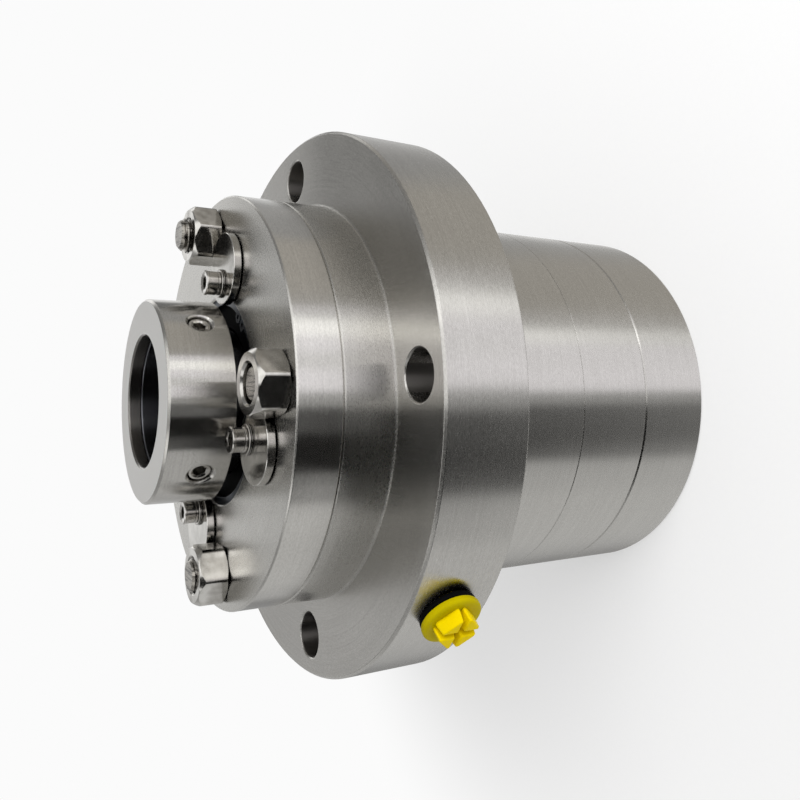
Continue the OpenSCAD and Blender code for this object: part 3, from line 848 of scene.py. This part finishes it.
class Thread(Recipe):
    """A threaded rod: a grid rolled into a cylinder whose radius follows the helix."""

    ROWS_A_TURN = 7
    DEPTH_SHARE = 0.55
    CREST_SHARE = 0.07

    def __init__(self) -> None:
        """Builds the tree."""
        super().__init__("thread", {
            "Material": "NodeSocketMaterial", "Length": "NodeSocketFloat", "Radius": "NodeSocketFloat",
            "Pitch": "NodeSocketFloat", "Depth": "NodeSocketFloat", "Lead": "NodeSocketFloat",
            "Around": "NodeSocketInt", "Rows": "NodeSocketInt"})
        grid = self.add("GeometryNodeMeshGrid", {"Size X": 1.0, "Size Y": 1.0, "Vertices X": "<Around",
                                                 "Vertices Y": "<Rows"})
        where = self.add("ShaderNodeSeparateXYZ", {0: self.add("GeometryNodeInputPosition")})
        round_share = self.calc("ADD", where.outputs["X"], 0.5)
        row_share = self.calc("ADD", where.outputs["Y"], 0.5)
        last = self.calc("SUBTRACT", "<Rows", 1.0)
        row = self.calc("MULTIPLY", row_share, last)
        inner = self.calc("SUBTRACT", last, 1.0)
        run = self.remap(row, 1.0, inner, end="<Length")
        radius = self.helix_radius(run, round_share)
        past = self.calc("GREATER_THAN", row, 0.5)
        before = self.calc("LESS_THAN", row, self.calc("SUBTRACT", last, 0.5))
        body = self.calc("MULTIPLY", past, before)
        closed = self.calc("MULTIPLY", radius, body)
        angle = self.calc("MULTIPLY", round_share, math.tau)
        east = self.calc("MULTIPLY", self.calc("COSINE", angle), closed)
        north = self.calc("MULTIPLY", self.calc("SINE", angle), closed)
        place = self.xyz(east, north, run)
        rolled = self.add("GeometryNodeSetPosition", {"Geometry": grid, "Position": place})
        welded = self.add("GeometryNodeMergeByDistance", {"Geometry": rolled, "Distance": 0.001 * MM})
        self.finish(welded)

    def helix_radius(self, run: Node, round_share: Node) -> Node:
        """Adds the radius at a height and an angle: crests and roots, cut down by the lead at each end.

        Args:
            run: height along the rod.
            round_share: share of a turn, from 0 to 1.

        Returns:
            The node that gives the radius.
        """
        turns = self.calc("DIVIDE", run, "<Pitch")
        phase = self.calc("SUBTRACT", turns, round_share)
        wave = self.calc("PINGPONG", phase, 0.5)
        flanks = self.remap(wave, self.CREST_SHARE, 0.5 - self.CREST_SHARE, end="<Depth")
        helix = self.calc("SUBTRACT", "<Radius", flanks)
        left = self.calc("SUBTRACT", "<Length", run)
        nearest = self.calc("MINIMUM", left, run)
        start = self.calc("SUBTRACT", "<Radius", "<Lead")
        cone = self.calc("ADD", start, nearest)
        return self.calc("MINIMUM", helix, cone)

    def rod(self, name: str, length: float, radius: float, pitch: float, lead: float,
            material: Material, around: int = 32) -> Object:
        """Makes one threaded rod.

        Args:
            name: the piece's name.
            length: its length.
            radius: its crest radius.
            pitch: its pitch.
            lead: the chamfer at each end.
            material: its finish.
            around: points in one turn.

        Returns:
            The rod, standing on +Z at the origin.
        """
        rows = 3 + round(length / pitch * self.ROWS_A_TURN)
        rod = self.make(name, bpy.data.meshes.new(name + "_start"), {
            "Material": material, "Length": length, "Radius": radius, "Pitch": pitch,
            "Depth": self.DEPTH_SHARE * pitch, "Lead": lead, "Around": around + 1, "Rows": rows})
        rod.data.shade_smooth()
        rod.data.set_sharp_from_angle(angle=math.radians(40))
        return rod


class Coil(Recipe):
    """A coil spring: a round wire swept along a helix with closed ends."""

    STEPS_A_TURN = 24
    WIRE_SIDES = 10

    def __init__(self) -> None:
        """Builds the tree."""
        super().__init__("coil", {
            "Material": "NodeSocketMaterial", "Turns": "NodeSocketFloat", "Coil Radius": "NodeSocketFloat",
            "Length": "NodeSocketFloat", "Wire Radius": "NodeSocketFloat"})
        spiral = self.add("GeometryNodeCurveSpiral", {"Resolution": self.STEPS_A_TURN, "Rotations": "<Turns",
                                                      "Start Radius": "<Coil Radius",
                                                      "End Radius": "<Coil Radius", "Height": "<Length"})
        wire = self.add("GeometryNodeCurvePrimitiveCircle", {"Resolution": self.WIRE_SIDES,
                                                             "Radius": "<Wire Radius"})
        swept = self.add("GeometryNodeCurveToMesh", {"Curve": spiral, "Profile Curve": wire,
                                                     "Fill Caps": True})
        self.finish(swept)


@dataclass
class Shop:
    """What every sub-assembly needs: the finishes and the Geometry Nodes trees."""

    finishes: Finishes = field(default_factory=Finishes)
    circle: BoltCircle = field(default_factory=BoltCircle)
    thread: Thread = field(default_factory=Thread)
    coil: Coil = field(default_factory=Coil)

    @staticmethod
    def fit(piece: Object, body: str, slot: str, *nodes: str) -> None:
        """Fixes a finished piece to its body in place of its CAD nodes.

        Args:
            piece: the piece.
            body: the body that it rides on.
            slot: the record's material slot; not used.
            *nodes: the CAD nodes that it stands for.
        """
        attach(piece, body)
        if nodes:
            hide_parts(*nodes)
        LOG.info("built %s for %s: %d faces", piece.name, ", ".join(nodes), len(piece.data.polygons))


@dataclass
class Housing:
    """The gland plate, the flange body and the barrel's two rings, with what is sealed inside them."""

    shop: Shop

    def build(self) -> None:
        """Dresses the housing's CAD nodes."""
        finishes = self.shop.finishes
        dress("gland_plate", finishes.gland)
        for node in ("flange_body", "middle_ring", "end_ring"):
            dress(node, finishes.barrel)
        for node in ("housing_o_rings", "seat_o_rings"):
            dress(node, finishes.rubber)
        for node in ("outboard_seat", "inboard_seat"):
            dress(node, finishes.carbide)
        dress("throttle_bushing", finishes.carbon)
        dress("bushing_circlip", finishes.circlip)
        dress("seat_pins", finishes.screw)


@dataclass
class Studs:
    """Four studs and hex nuts that clamp the gland plate.

    Attributes:
        first: angle of the first stud, in degrees.
        out: how far each stud passes its nut, in millimetres.
        turns: angle of a corner of each nut from +X, in degrees.
    """

    shop: Shop
    pitch_radius: float = 60 * MM
    first: float = 8.0
    out: tuple[float, ...] = (3.3, 1.2, 1.2, -1.2)
    turns: tuple[float, ...] = (-15.0, 53.0, 29.7, -12.5)
    thread_radius: float = 6 * MM
    pitch: float = 1.75 * MM
    lead: float = 1.3 * MM
    nut_height: float = 10.0
    nut_flats: float = 19.0
    mouth: float = 6.7

    def build(self) -> None:
        """Builds the studs and the nuts."""
        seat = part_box("gland_plate")[1].z
        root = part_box("studs")[0].z
        length = seat + (self.nut_height + min(self.out)) * MM - root
        rod = self.shop.thread.rod("stud", length, self.thread_radius, self.pitch, self.lead,
                                   self.shop.finishes.stud)
        spots = [Spot(lift=(out - min(self.out)) * MM, turn=70.0 * k) for k, out in enumerate(self.out)]
        studs = self.shop.circle.repeat("threaded_studs", rod, spots, self.first, self.pitch_radius, root)
        self.shop.fit(studs, HOUSING, "fastener_steel", "studs")
        spots = [Spot(turn=turn - self.first - 90 * k) for k, turn in enumerate(self.turns)]
        nuts = self.shop.circle.repeat("nuts", self.nut(), spots, self.first, self.pitch_radius, seat)
        self.shop.fit(nuts, HOUSING, "fastener_steel", "hex_nuts")

    def nut(self) -> Object:
        """Builds one nut, its corners cut by a steep cone at the crown and a flatter one at the base."""
        flat = self.nut_flats / 2
        rim = flat - 0.25
        steep, slope = math.tan(math.radians(50)), math.tan(math.radians(30))
        top = self.nut_height
        lift, drop = (flat - rim) * slope, (flat - rim) * steep
        bore = self.thread_radius / MM + 0.02
        shape = [
            Station(bore, 0.5), Station(self.mouth - 0.1, 0.02), Station(rim, 0.02),
            Station(flat, 0.02 + lift, Outline.HEX, slope),
            Station(flat, top - drop, Outline.HEX, -steep),
            Station(rim, top), Station(self.mouth, top), Station(bore, top - 0.7),
        ]
        return Turning(columns=240, corner=1.9, sharp=20).mesh("nut", shape, self.shop.finishes.fastener)


@dataclass
class Clips:
    """Four eccentric setting clips, each with its washer and socket cap screw.

    Attributes:
        pitch_radius: distance of the clip screws from the axis.
        first: angle of clip_1's screw, in degrees.
        offset: distance from a clip's screw to its centre, in millimetres.
    """

    shop: Shop
    pitch_radius: float = 42.3 * MM
    first: float = -13.5
    offset: float = 5.3
    disc_r: float = 12.5
    disc_z: tuple[float, float] = (0.35, 3.0)
    boss_r: float = 6.0
    hole_r: float = 2.6
    head_r: float = 4.25
    head_h: float = 5.0
    washer_t: float = 1.0

    def build(self) -> None:
        """Builds the clips, the washers and the screws."""
        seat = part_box("gland_plate")[1].z
        for k, name in enumerate(("clip_1", "clip_4", "clip_3", "clip_2")):
            clip = self.shop.circle.repeat("setting_" + name, self.disc(), [Spot()], self.first + 90 * k,
                                           self.pitch_radius, seat)
            self.shop.fit(clip, name, "fastener_steel", name)
        four = [Spot(turn=23.0 * k) for k in range(4)]
        washers = self.shop.circle.repeat("spring_washers", self.washer(), four, self.first,
                                          self.pitch_radius, seat + self.disc_z[1] * MM)
        self.shop.fit(washers, HOUSING, "screw_steel", "clip_washers")
        base = seat + (self.disc_z[1] + self.washer_t) * MM
        screws = self.shop.circle.repeat("cap_screws", self.screw(), four, self.first,
                                         self.pitch_radius, base)
        self.shop.fit(screws, HOUSING, "screw_steel", "clip_screws")

    def disc(self) -> Object:
        """Builds one clip about its screw: a flat disc with eased edges on a low boss."""
        low, high = self.disc_z
        rim = self.disc_r
        shape = [
            Station(self.hole_r, 0.02), Station(self.boss_r, 0.02), Station(self.boss_r, low),
            Station(rim - 0.18, low, Outline.DISC), Station(rim, low + 0.18, Outline.DISC),
            Station(rim, high - 0.18, Outline.DISC), Station(rim - 0.18, high, Outline.DISC),
            Station(self.hole_r, high),
        ]
        return Turning(columns=120, offset=self.offset).mesh("disc", shape, self.shop.finishes.clip)

    def washer(self) -> Object:
        """Builds one spring washer, its two coils showing as two round ridges."""
        low, high = 0.02, self.washer_t
        ridge = (high - low) / 2
        shape = [
            Station(2.55, low), Station(4.75, low), Station(5.0, low + 0.15),
            Station(5.0, low + ridge - 0.15), Station(4.55, low + ridge), Station(4.9, low + ridge + 0.15),
            Station(4.9, high - 0.15), Station(4.7, high), Station(2.55, high),
        ]
        return Turning().mesh("washer", shape, self.shop.finishes.screw)

    def screw(self) -> Object:
        """Builds one M5 cap screw, standing on the seat of its head."""
        top = self.head_h
        socket = 2.0
        shape = [
            Station(0, -11.0), Station(1.9, -11.0), Station(2.5, -10.4), Station(2.5, 0.0),
            Station(3.9, 0.0), Station(4.05, 0.15), Station(4.05, 0.75), Station(3.8, 0.95),
            Station(4.05, 1.15), Station(4.05, top - 1.0), Station(self.head_r, top - 0.8),
            Station(self.head_r, top - 0.3), Station(self.head_r - 0.3, top), Station(2.75, top),
            Station(socket, top - 0.3, Outline.HEX), Station(socket, top - 2.4, Outline.HEX),
            Station(0, top - 2.9),
        ]
        return Turning().mesh("cap_screw", shape, self.shop.finishes.screw)


@dataclass
class BarrelScrews:
    """Six long socket cap screws, sunk in the barrel's end, that hold its rings to the flange."""

    shop: Shop
    pitch_radius: float = 60 * MM
    count: int = 6
    head_r: float = 6.5
    head_h: float = 8.0

    def build(self) -> None:
        """Builds the screws, which point up from the barrel's end."""
        low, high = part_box("barrel_screws")
        template = self.screw((high.z - low.z) / MM)
        spots = [Spot(turn=17.0 * k) for k in range(self.count)]
        screws = self.shop.circle.repeat("barrel_cap_screws", template, spots, 0.0, self.pitch_radius, low.z)
        self.shop.fit(screws, HOUSING, "screw_steel", "barrel_screws")

    def screw(self, length: float) -> Object:
        """Builds one M8 screw with a knurled head, its socket at z = 0.

        Args:
            length: its length over all, in millimetres.

        Returns:
            The screw.
        """
        rim = self.head_r
        shape = [
            Station(0, 4.4), Station(3.0, 4.0, Outline.HEX), Station(3.0, 0.4, Outline.HEX),
            Station(3.9, 0.0), Station(rim - 0.7, 0.0), Station(rim - 0.2, 0.5),
            Station(rim, 0.9, Outline.KNURL), Station(rim, self.head_h - 0.5, Outline.KNURL),
            Station(rim - 0.3, self.head_h), Station(4.0, self.head_h), Station(4.0, length - 1.0),
            Station(3.0, length), Station(0, length),
        ]
        return Turning(columns=96, knurl_depth=0.22).mesh("barrel_screw", shape, self.shop.finishes.screw)


@dataclass
class Rotor:
    """What turns with the shaft: the collar, the sleeve and the parts fixed on it.

    Attributes:
        screw_first: angle of the collar's first set screw, in degrees.
        screw_sink: depth of its face under the collar's surface, in millimetres.
    """

    shop: Shop
    screw_first: float = -39.7
    screw_z: float = 75.9 * MM
    screw_r: float = 4.0
    screw_sink: float = 1.4
    screw_len: float = 10.6
    spring_radius: float = 33 * MM
    spring_count: int = 6
    coil_r: float = 2.2 * MM
    wire_r: float = 0.4 * MM
    coil_turns: float = 5.5
    float_travel: float = 1.5 * MM

    def build(self) -> None:
        """Dresses the turned parts, and builds the set screws and the springs."""
        finishes = self.shop.finishes
        dress("drive_collar", finishes.collar)
        for node in ("shaft_sleeve", "outboard_carrier", "inboard_carrier", "pumping_ring"):
            dress(node, finishes.sleeve)
        for node in ("hub_set_screws", "drive_pins"):
            dress(node, finishes.screw)
        dress("sleeve_o_ring", finishes.rubber)
        self.build_set_screws()
        for side, foot in (("outboard", 0), ("inboard", 1)):
            self.build_springs(side)

    def build_set_screws(self) -> None:
        """Builds the collar's four set screws, their sockets facing out."""
        collar_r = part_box("drive_collar")[1].x
        base = collar_r - (self.screw_sink + self.screw_len) * MM
        spots = [Spot(turn=12.0 + 25.0 * k) for k in range(4)]
        screws = self.shop.circle.repeat("socket_set_screws", self.set_screw(), spots, self.screw_first, base,
                                         self.screw_z, lean=90.0)
        self.shop.fit(screws, ROTOR, "screw_steel", "collar_set_screws")

    def set_screw(self) -> Object:
        """Builds one M8 set screw with a cup point and a hexagon socket."""
        top = self.screw_len
        rim = self.screw_r
        shape = [
            Station(0, 1.0), Station(1.7, 0.0), Station(rim - 1.6, 0.0), Station(rim, 1.6),
            Station(rim, top - 0.55), Station(rim - 0.55, top), Station(2.75, top),
            Station(2.0, top - 0.4, Outline.HEX), Station(2.0, top - 5.0, Outline.HEX), Station(0, top - 6.0),
        ]
        return Turning(sharp=25).mesh("set_screw", shape, self.shop.finishes.screw)

    def build_springs(self, side: str) -> None:
        """Builds one set of coil springs in the space of its CAD node.

        Args:
            side: which of the two sets.
        """
        node = side + "_springs"
        low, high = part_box(node)
        run = high.z - low.z - 2 * self.wire_r
        spring = self.shop.coil.make("spring", bpy.data.meshes.new("spring_start"), {
            "Material": self.shop.finishes.spring, "Turns": self.coil_turns, "Coil Radius": self.coil_r,
            "Length": run, "Wire Radius": self.wire_r})
        spring.data.shade_smooth()
        spots = [Spot(turn=40.0 * k) for k in range(self.spring_count)]
        springs = self.shop.circle.repeat("wound_" + node, spring, spots, 0.0, self.spring_radius,
                                          low.z + self.wire_r)
        self.shop.fit(springs, ROTOR, "spring_steel", node)
        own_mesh(springs)


@dataclass
class SealRings:
    """The two rotating carbon rings and their O-rings."""

    shop: Shop

    def build(self) -> None:
        """Dresses the rings."""
        for side in ("outboard", "inboard"):
            dress(side + "_ring", self.shop.finishes.carbon)
            dress(side + "_ring_o_ring", self.shop.finishes.rubber)


@dataclass
class PortPlugs:
    """The two yellow screw plugs in the flange's side ports, each on its O-ring.

    Attributes:
        angles: each plug's side and the angle of its axis from +X, in degrees.
        height: height of the ports above the mounting face.
        gap: how far the O-ring holds the plug's flange off the rim, in millimetres.
        head_half: distance of the four-lobed head's flats from its axis, in millimetres.
        thread_in: how far the thread reaches into the rim, in millimetres.
        thread_lap: how far it runs on into the plug's flange, in millimetres.
    """

    shop: Shop
    angles: tuple[tuple[str, float], ...] = (("near", -126.3), ("far", 53.7))
    height: float = 15.5 * MM
    gap: float = 2.45
    flange_r: float = 9.75
    flange_t: float = 3.0
    head_half: float = 5.9
    head_h: float = 3.9
    base_r: float = 6.9
    top_r: float = 6.5
    groove_half: float = 1.12
    groove_d: float = 3.4
    thread_r: float = 6.5
    thread_in: float = 10.0
    thread_lap: float = 0.5
    pitch: float = 1.6 * MM
    lead: float = 1.0 * MM

    def build(self) -> None:
        """Builds both plugs and dresses their O-rings."""
        for side, angle in self.angles:
            node = "port_plug_" + side
            plug = self.plug(node, angle)
            self.shop.fit(plug, "plug_" + side, "plug_plastic", node)
            dress("port_o_ring_" + side, self.shop.finishes.rubber)

    def plug(self, node: str, angle: float) -> Object:
        """Builds one plug and puts it in its port.

        Args:
            node: the CAD node that it stands for.
            angle: angle of its axis, in degrees.

        Returns:
            The plug.
        """
        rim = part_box("flange_body")[1].x / MM
        under = rim + self.gap
        face = under + self.flange_t
        length = under - rim + (self.thread_in + self.thread_lap)
        rod = self.shop.thread.rod("plug_thread", length * MM, self.thread_r * MM, self.pitch, self.lead,
                                   self.shop.finishes.plastic)
        rod.data.transform(Matrix.Translation((0, 0, (rim - self.thread_in) * MM)))
        edge = self.flange_r
        # The flange is made in the darker copy of the yellow plastic, as painted shade
        flange = Turning(columns=96).mesh("plug_flange", [
            Station(0, under), Station(edge - 0.5, under), Station(edge - 0.15, under + 0.15),
            Station(edge, under + 0.5), Station(edge, under + 1.5), Station(edge - 0.15, under + 1.9),
            Station(edge - 0.6, under + 2.25), Station(edge - 1.5, under + 2.5),
            Station(edge - 2.2, under + 2.45), Station(0, under + 2.35),
        ], self.shop.finishes.shaded_plastic)
        lobes = [self.lobe(k, face) for k in range(4)]
        plug = join_pieces([rod, flange, *lobes], "screw_" + node)
        plug.data.transform(Matrix.Rotation(math.radians(angle), 4, "Z")
                            @ Matrix.Translation((0, 0, self.height))
                            @ Matrix.Rotation(math.radians(90), 4, "Y"))
        return plug

    def lobe(self, quadrant: int, face: float) -> Object:
        """Builds one of the head's four lobes, between the two crossed grooves.

        Args:
            quadrant: which lobe, counter-clockwise.
            face: height of the flange's face, in millimetres.

        Returns:
            The lobe, with eased edges.
        """
        half = self.head_half / math.sqrt(2)
        top = face + self.head_h
        levels = [(face - 0.8, 0.6, self.base_r), (top - self.groove_d, 0.6, self.base_r - 0.1),
                  (top, self.groove_half, self.top_r)]
        work = bmesh.new()
        rings = []
        for z, inner, reach in levels:
            spread = math.sqrt(reach ** 2 / 2 - half ** 2)
            outer = math.sqrt(reach ** 2 - inner ** 2)
            outline = [(inner, inner), (outer, inner), (half + spread, half - spread),
                       (half - spread, half + spread), (inner, outer)]
            rings.append([work.verts.new((x * MM, y * MM, z * MM)) for x, y in outline])
        for low, high in zip(rings, rings[1:]):
            for i in range(len(low)):
                j = (i + 1) % len(low)
                work.faces.new((low[i], low[j], high[j], high[i]))
        work.faces.new(rings[0])
        work.faces.new(rings[-1])
        bmesh.ops.rotate(work, verts=work.verts, matrix=Matrix.Rotation(math.tau * quadrant / 4, 3, "Z"))
        lobe = finish_mesh(work, "lobe", self.shop.finishes.plastic, 60)
        return plain_copy(bevelled(lobe, 0.5 * MM, 3), "lobe")


@dataclass(frozen=True)
class Panel:
    """One softbox or dark card, as seen from the seal.

    Attributes:
        azimuth: direction of its middle from +X, counter-clockwise, in degrees.
        width: its width in degrees of azimuth.
        elevation: height of its middle over the horizon, in degrees.
        height: its height in degrees of elevation.
        light: its brightness, where 1 is white.
        tint: its colour.
        side: width of its soft side edges, in degrees.
        end: width of its soft upper and lower edges, in degrees.
    """

    azimuth: float
    width: float
    elevation: float
    height: float
    light: float
    tint: str = "#FFFFFF"
    side: float = 5.0
    end: float = 14.0


@dataclass
class Studio:
    """A pale floor under a white surround, with softboxes and dark cards that the steel shows.

    Attributes:
        level: what a surface that isn't glossy gets from all round.
        ambient: brightness of the surround in the steel, between the panels.
        panels: painted over one another in order.
        backdrop: what the camera sees behind the seal.
        floor_glow: share of plain white in the floor close to the seal.
        floor_near: distance from the axis up to which the floor keeps that share.
        floor_far: distance from which the floor is plain white.
    """

    level: float = 0.6
    ambient: float = 0.52
    panels: tuple[Panel, ...] = (
        Panel(90, 56, -20, 120, 0.9, side=22),
        Panel(86, 56, -56, 50, 1.35, side=20),
        Panel(62, 14, -24, 14, 0.8, side=8, end=8),
        Panel(106, 34, -16, 26, 0.44, side=12, end=8),
        Panel(95, 130, 46, 52, 0.3, side=30),
        Panel(95, 130, 8, 12, 1.3, side=20, end=8),
        Panel(0, 70, -15, 110, 0.5, "#FFFAF2", side=30),
        Panel(26, 28, -20, 28, 0.4, side=10, end=8),
        Panel(-225, 60, -10, 120, 0.55, side=20),
        Panel(126, 24, -32, 32, 0.26, side=10, end=8),
        Panel(-175, 60, -10, 120, 0.7, side=16),
        Panel(-170, 60, 0, 30, 0.5, side=10),
        Panel(-90, 200, 60, 34, 1.3, side=30, end=10),
        Panel(28, 104, 34, 28, 0.26, side=20, end=8),
        Panel(-205, 70, 34, 28, 0.36, side=14, end=8),
        Panel(-160, 40, 34, 28, 0.35, side=14, end=8),
        Panel(-140, 34, -48, 50, 0.72, side=10, end=16),
        Panel(-65, 35, -20, 130, 1.15, "#FCFAFF", side=4),
        Panel(-59, 46, 8, 62, 1.15, "#FCFAFF", side=4),
        Panel(-47, 10, 10, 112, 1.5, side=4),
        Panel(-47, 10, 36, 30, 2.4, side=4, end=10),
        Panel(-66, 9, -12, 30, 0.85),
        Panel(-103, 38, -50, 60, 0.42, side=4, end=24),
        Panel(-109, 36, -22, 52, 0.02, side=5, end=12),
        Panel(-112, 42, 24, 100, 0.01, side=6),
        Panel(-97, 14, -10, 20, 0.25, side=5, end=6),
        Panel(-134, 16, -8, 30, 0.06, end=8),
        Panel(-127, 46, 44, 84, 0.01, side=6),
        Panel(49, 22, -8, 20, 0.2, side=8, end=6),
        Panel(0, 380, 84, 24, 1.1),
    )
    backdrop: str = "#FBFBFB"
    floor_size: float = 6.0
    floor_glow: float = 0.44
    floor_near: float = 0.19
    floor_far: float = 0.33
    lamp_watts: float = 14.0
    lamp_size: float = 1.1
    lamp_place: tuple[float, float, float] = (0.75, -0.72, 0.62)

    def build(self) -> None:
        """Builds the surround, the floor and the lamp."""
        self.build_world()
        self.build_floor()
        self.build_lamp()

    def build_world(self) -> None:
        """Builds the surround: white for the camera and through glass, a plain level for matt
        surfaces, and the panels for glossy ones."""
        world = bpy.data.worlds.new("studio")
        world.use_nodes = True
        world.cycles.sampling_method = "NONE"
        bpy.context.scene.world = world
        world.node_tree.nodes.clear()
        nodes = Nodes(world.node_tree)
        way = nodes.add("ShaderNodeSeparateXYZ", {0: nodes.add("ShaderNodeTexCoord").outputs["Generated"]})
        azimuth = nodes.calc("DEGREES", nodes.calc("ARCTAN2", way.outputs["Y"], way.outputs["X"]))
        elevation = nodes.calc("DEGREES", nodes.calc("ARCSINE", way.outputs["Z"]))
        shown = nodes.add("ShaderNodeRGB")
        shown.outputs[0].default_value = (self.ambient, self.ambient, self.ambient, 1.0)
        for panel in self.panels:
            shown = self.paint(nodes, shown, panel, azimuth, elevation)
        path = nodes.add("ShaderNodeLightPath")
        clear = nodes.calc("MAXIMUM", path.outputs["Is Camera Ray"], path.outputs["Is Transmission Ray"])
        plain = nodes.blend(clear, (self.level, self.level, self.level, 1.0), linear(self.backdrop))
        seen = nodes.blend(path.outputs["Is Glossy Ray"], plain, shown)
        background = nodes.add("ShaderNodeBackground", {"Color": seen, "Strength": 1.0})
        nodes.add("ShaderNodeOutputWorld", {"Surface": background})

    @staticmethod
    def paint(nodes: Nodes, under: NodeSocket, panel: Panel, azimuth: Node, elevation: Node) -> NodeSocket:
        """Adds one panel over what is there.

        Args:
            nodes: the world's nodes.
            under: the colour so far.
            panel: the panel.
            azimuth: direction of the ray round the axis, in degrees.
            elevation: its height over the horizon, in degrees.

        Returns:
            The new colour.
        """
        off = nodes.calc("SUBTRACT", azimuth, panel.azimuth)
        wrapped = nodes.calc("WRAP", off, 180.0, -180.0)
        aside = nodes.calc("ABSOLUTE", wrapped)
        above = nodes.calc("ABSOLUTE", nodes.calc("SUBTRACT", elevation, panel.elevation))
        shares = [nodes.remap(off_by, (size + soft) / 2, (size - soft) / 2, smooth=True)
                  for off_by, size, soft in ((aside, panel.width, panel.side),
                                             (above, panel.height, panel.end))]
        share = nodes.calc("MULTIPLY", shares[0], shares[1])
        colour = [channel * panel.light for channel in linear(panel.tint)[:3]]
        return nodes.blend(share, under, (*colour, 1.0))

    def build_floor(self) -> None:
        """Builds the floor under the seal's lowest point. It is painted white board, which fades to
        plain white far from the seal and keeps the seal's shadow near it."""
        material, nodes = blank_material("board_painted_white")
        point = nodes.add("ShaderNodeTexCoord").outputs["Object"]
        speck = nodes.noise(point, size=2 * MM, detail=2.0)
        colour = nodes.blend(speck, linear("#F4F4F4"), linear("#F7F7F7"))
        matt = nodes.add("ShaderNodeBsdfPrincipled", {"Base Color": colour, "Roughness": 0.9,
                                                      "Specular IOR Level": 0.0})
        white = nodes.add("ShaderNodeEmission", {"Color": linear(self.backdrop), "Strength": 1.0})
        away = nodes.vector("LENGTH", point)
        far = nodes.remap(away.outputs["Value"], self.floor_near, self.floor_far, start=self.floor_glow,
                          smooth=True)
        nodes.surface(nodes.add("ShaderNodeMixShader", {0: far, 1: matt, 2: white}))
        half = self.floor_size / 2
        level = CAD_BOX[0].z
        mesh = bpy.data.meshes.new("floor")
        mesh.from_pydata([(-half, -half, level), (half, -half, level), (half, half, level),
                          (-half, half, level)], [], [(0, 1, 2, 3)])
        mesh.materials.append(material)
        floor = link_object("floor", mesh)
        floor.visible_glossy = False

    def build_lamp(self) -> None:
        """Builds one large soft lamp above and beside the camera, for the matt parts and the shadow."""
        light = bpy.data.lights.new("softbox", "AREA")
        light.shape = "DISK"
        light.size = self.lamp_size
        light.energy = self.lamp_watts
        lamp = link_object("softbox", light)
        lamp.location = self.lamp_place
        lamp.rotation_euler = (-Vector(lamp.location)).to_track_quat("-Z", "Y").to_euler()
        lamp.visible_glossy = False


@dataclass(frozen=True)
class PhotoCamera:
    """The camera of the photograph, solved from the seal's own circles.

    Attributes:
        eye: where it stands.
        aim: the way it looks.
        top: the way that is up in the picture, since the seal lies on its side there.
        focal_px: its focal length in pixels of the 800 pixel picture.
        centre_px: the pixel that it looks at squarely.
    """

    eye: tuple[float, float, float] = (16.8 * MM, -286.5 * MM, 151.9 * MM)
    aim: tuple[float, float, float] = (0.01387, 0.85230, -0.52287)
    top: tuple[float, float, float] = (0.99965, 0.0, 0.02652)
    focal_px: float = 809.41
    centre_px: tuple[float, float] = (423.99, 347.15)
    picture_px: float = 800.0
    sensor_mm: float = 36.0

    def build(self) -> None:
        """Makes the scene's camera."""
        data = bpy.data.cameras.new("photo_camera")
        data.sensor_width = self.sensor_mm
        data.lens = self.focal_px / self.picture_px * self.sensor_mm
        middle = self.picture_px / 2
        data.shift_x = (middle - self.centre_px[0]) / self.picture_px
        data.shift_y = (self.centre_px[1] - middle) / self.picture_px
        data.clip_start = 0.01
        camera = link_object("photo_camera", data)
        back = -Vector(self.aim).normalized()
        right = Vector(self.top).cross(back).normalized()
        up = back.cross(right)
        camera.matrix_world = Matrix.Translation(self.eye) @ Matrix((right, up, back)).transposed().to_4x4()
        bpy.context.scene.camera = camera


def main() -> None:
    """Builds the camera, the studio and every sub-assembly in order."""
    logging.basicConfig(level=logging.INFO, format="%(name)s: %(message)s")
    bpy.context.scene.view_settings.view_transform = "Standard"
    PhotoCamera().build()
    Studio().build()
    shop = Shop()
    for part in (Housing, Studs, Clips, BarrelScrews, Rotor, SealRings, PortPlugs):
        part(shop).build()


if __name__ == "__main__":
    main()
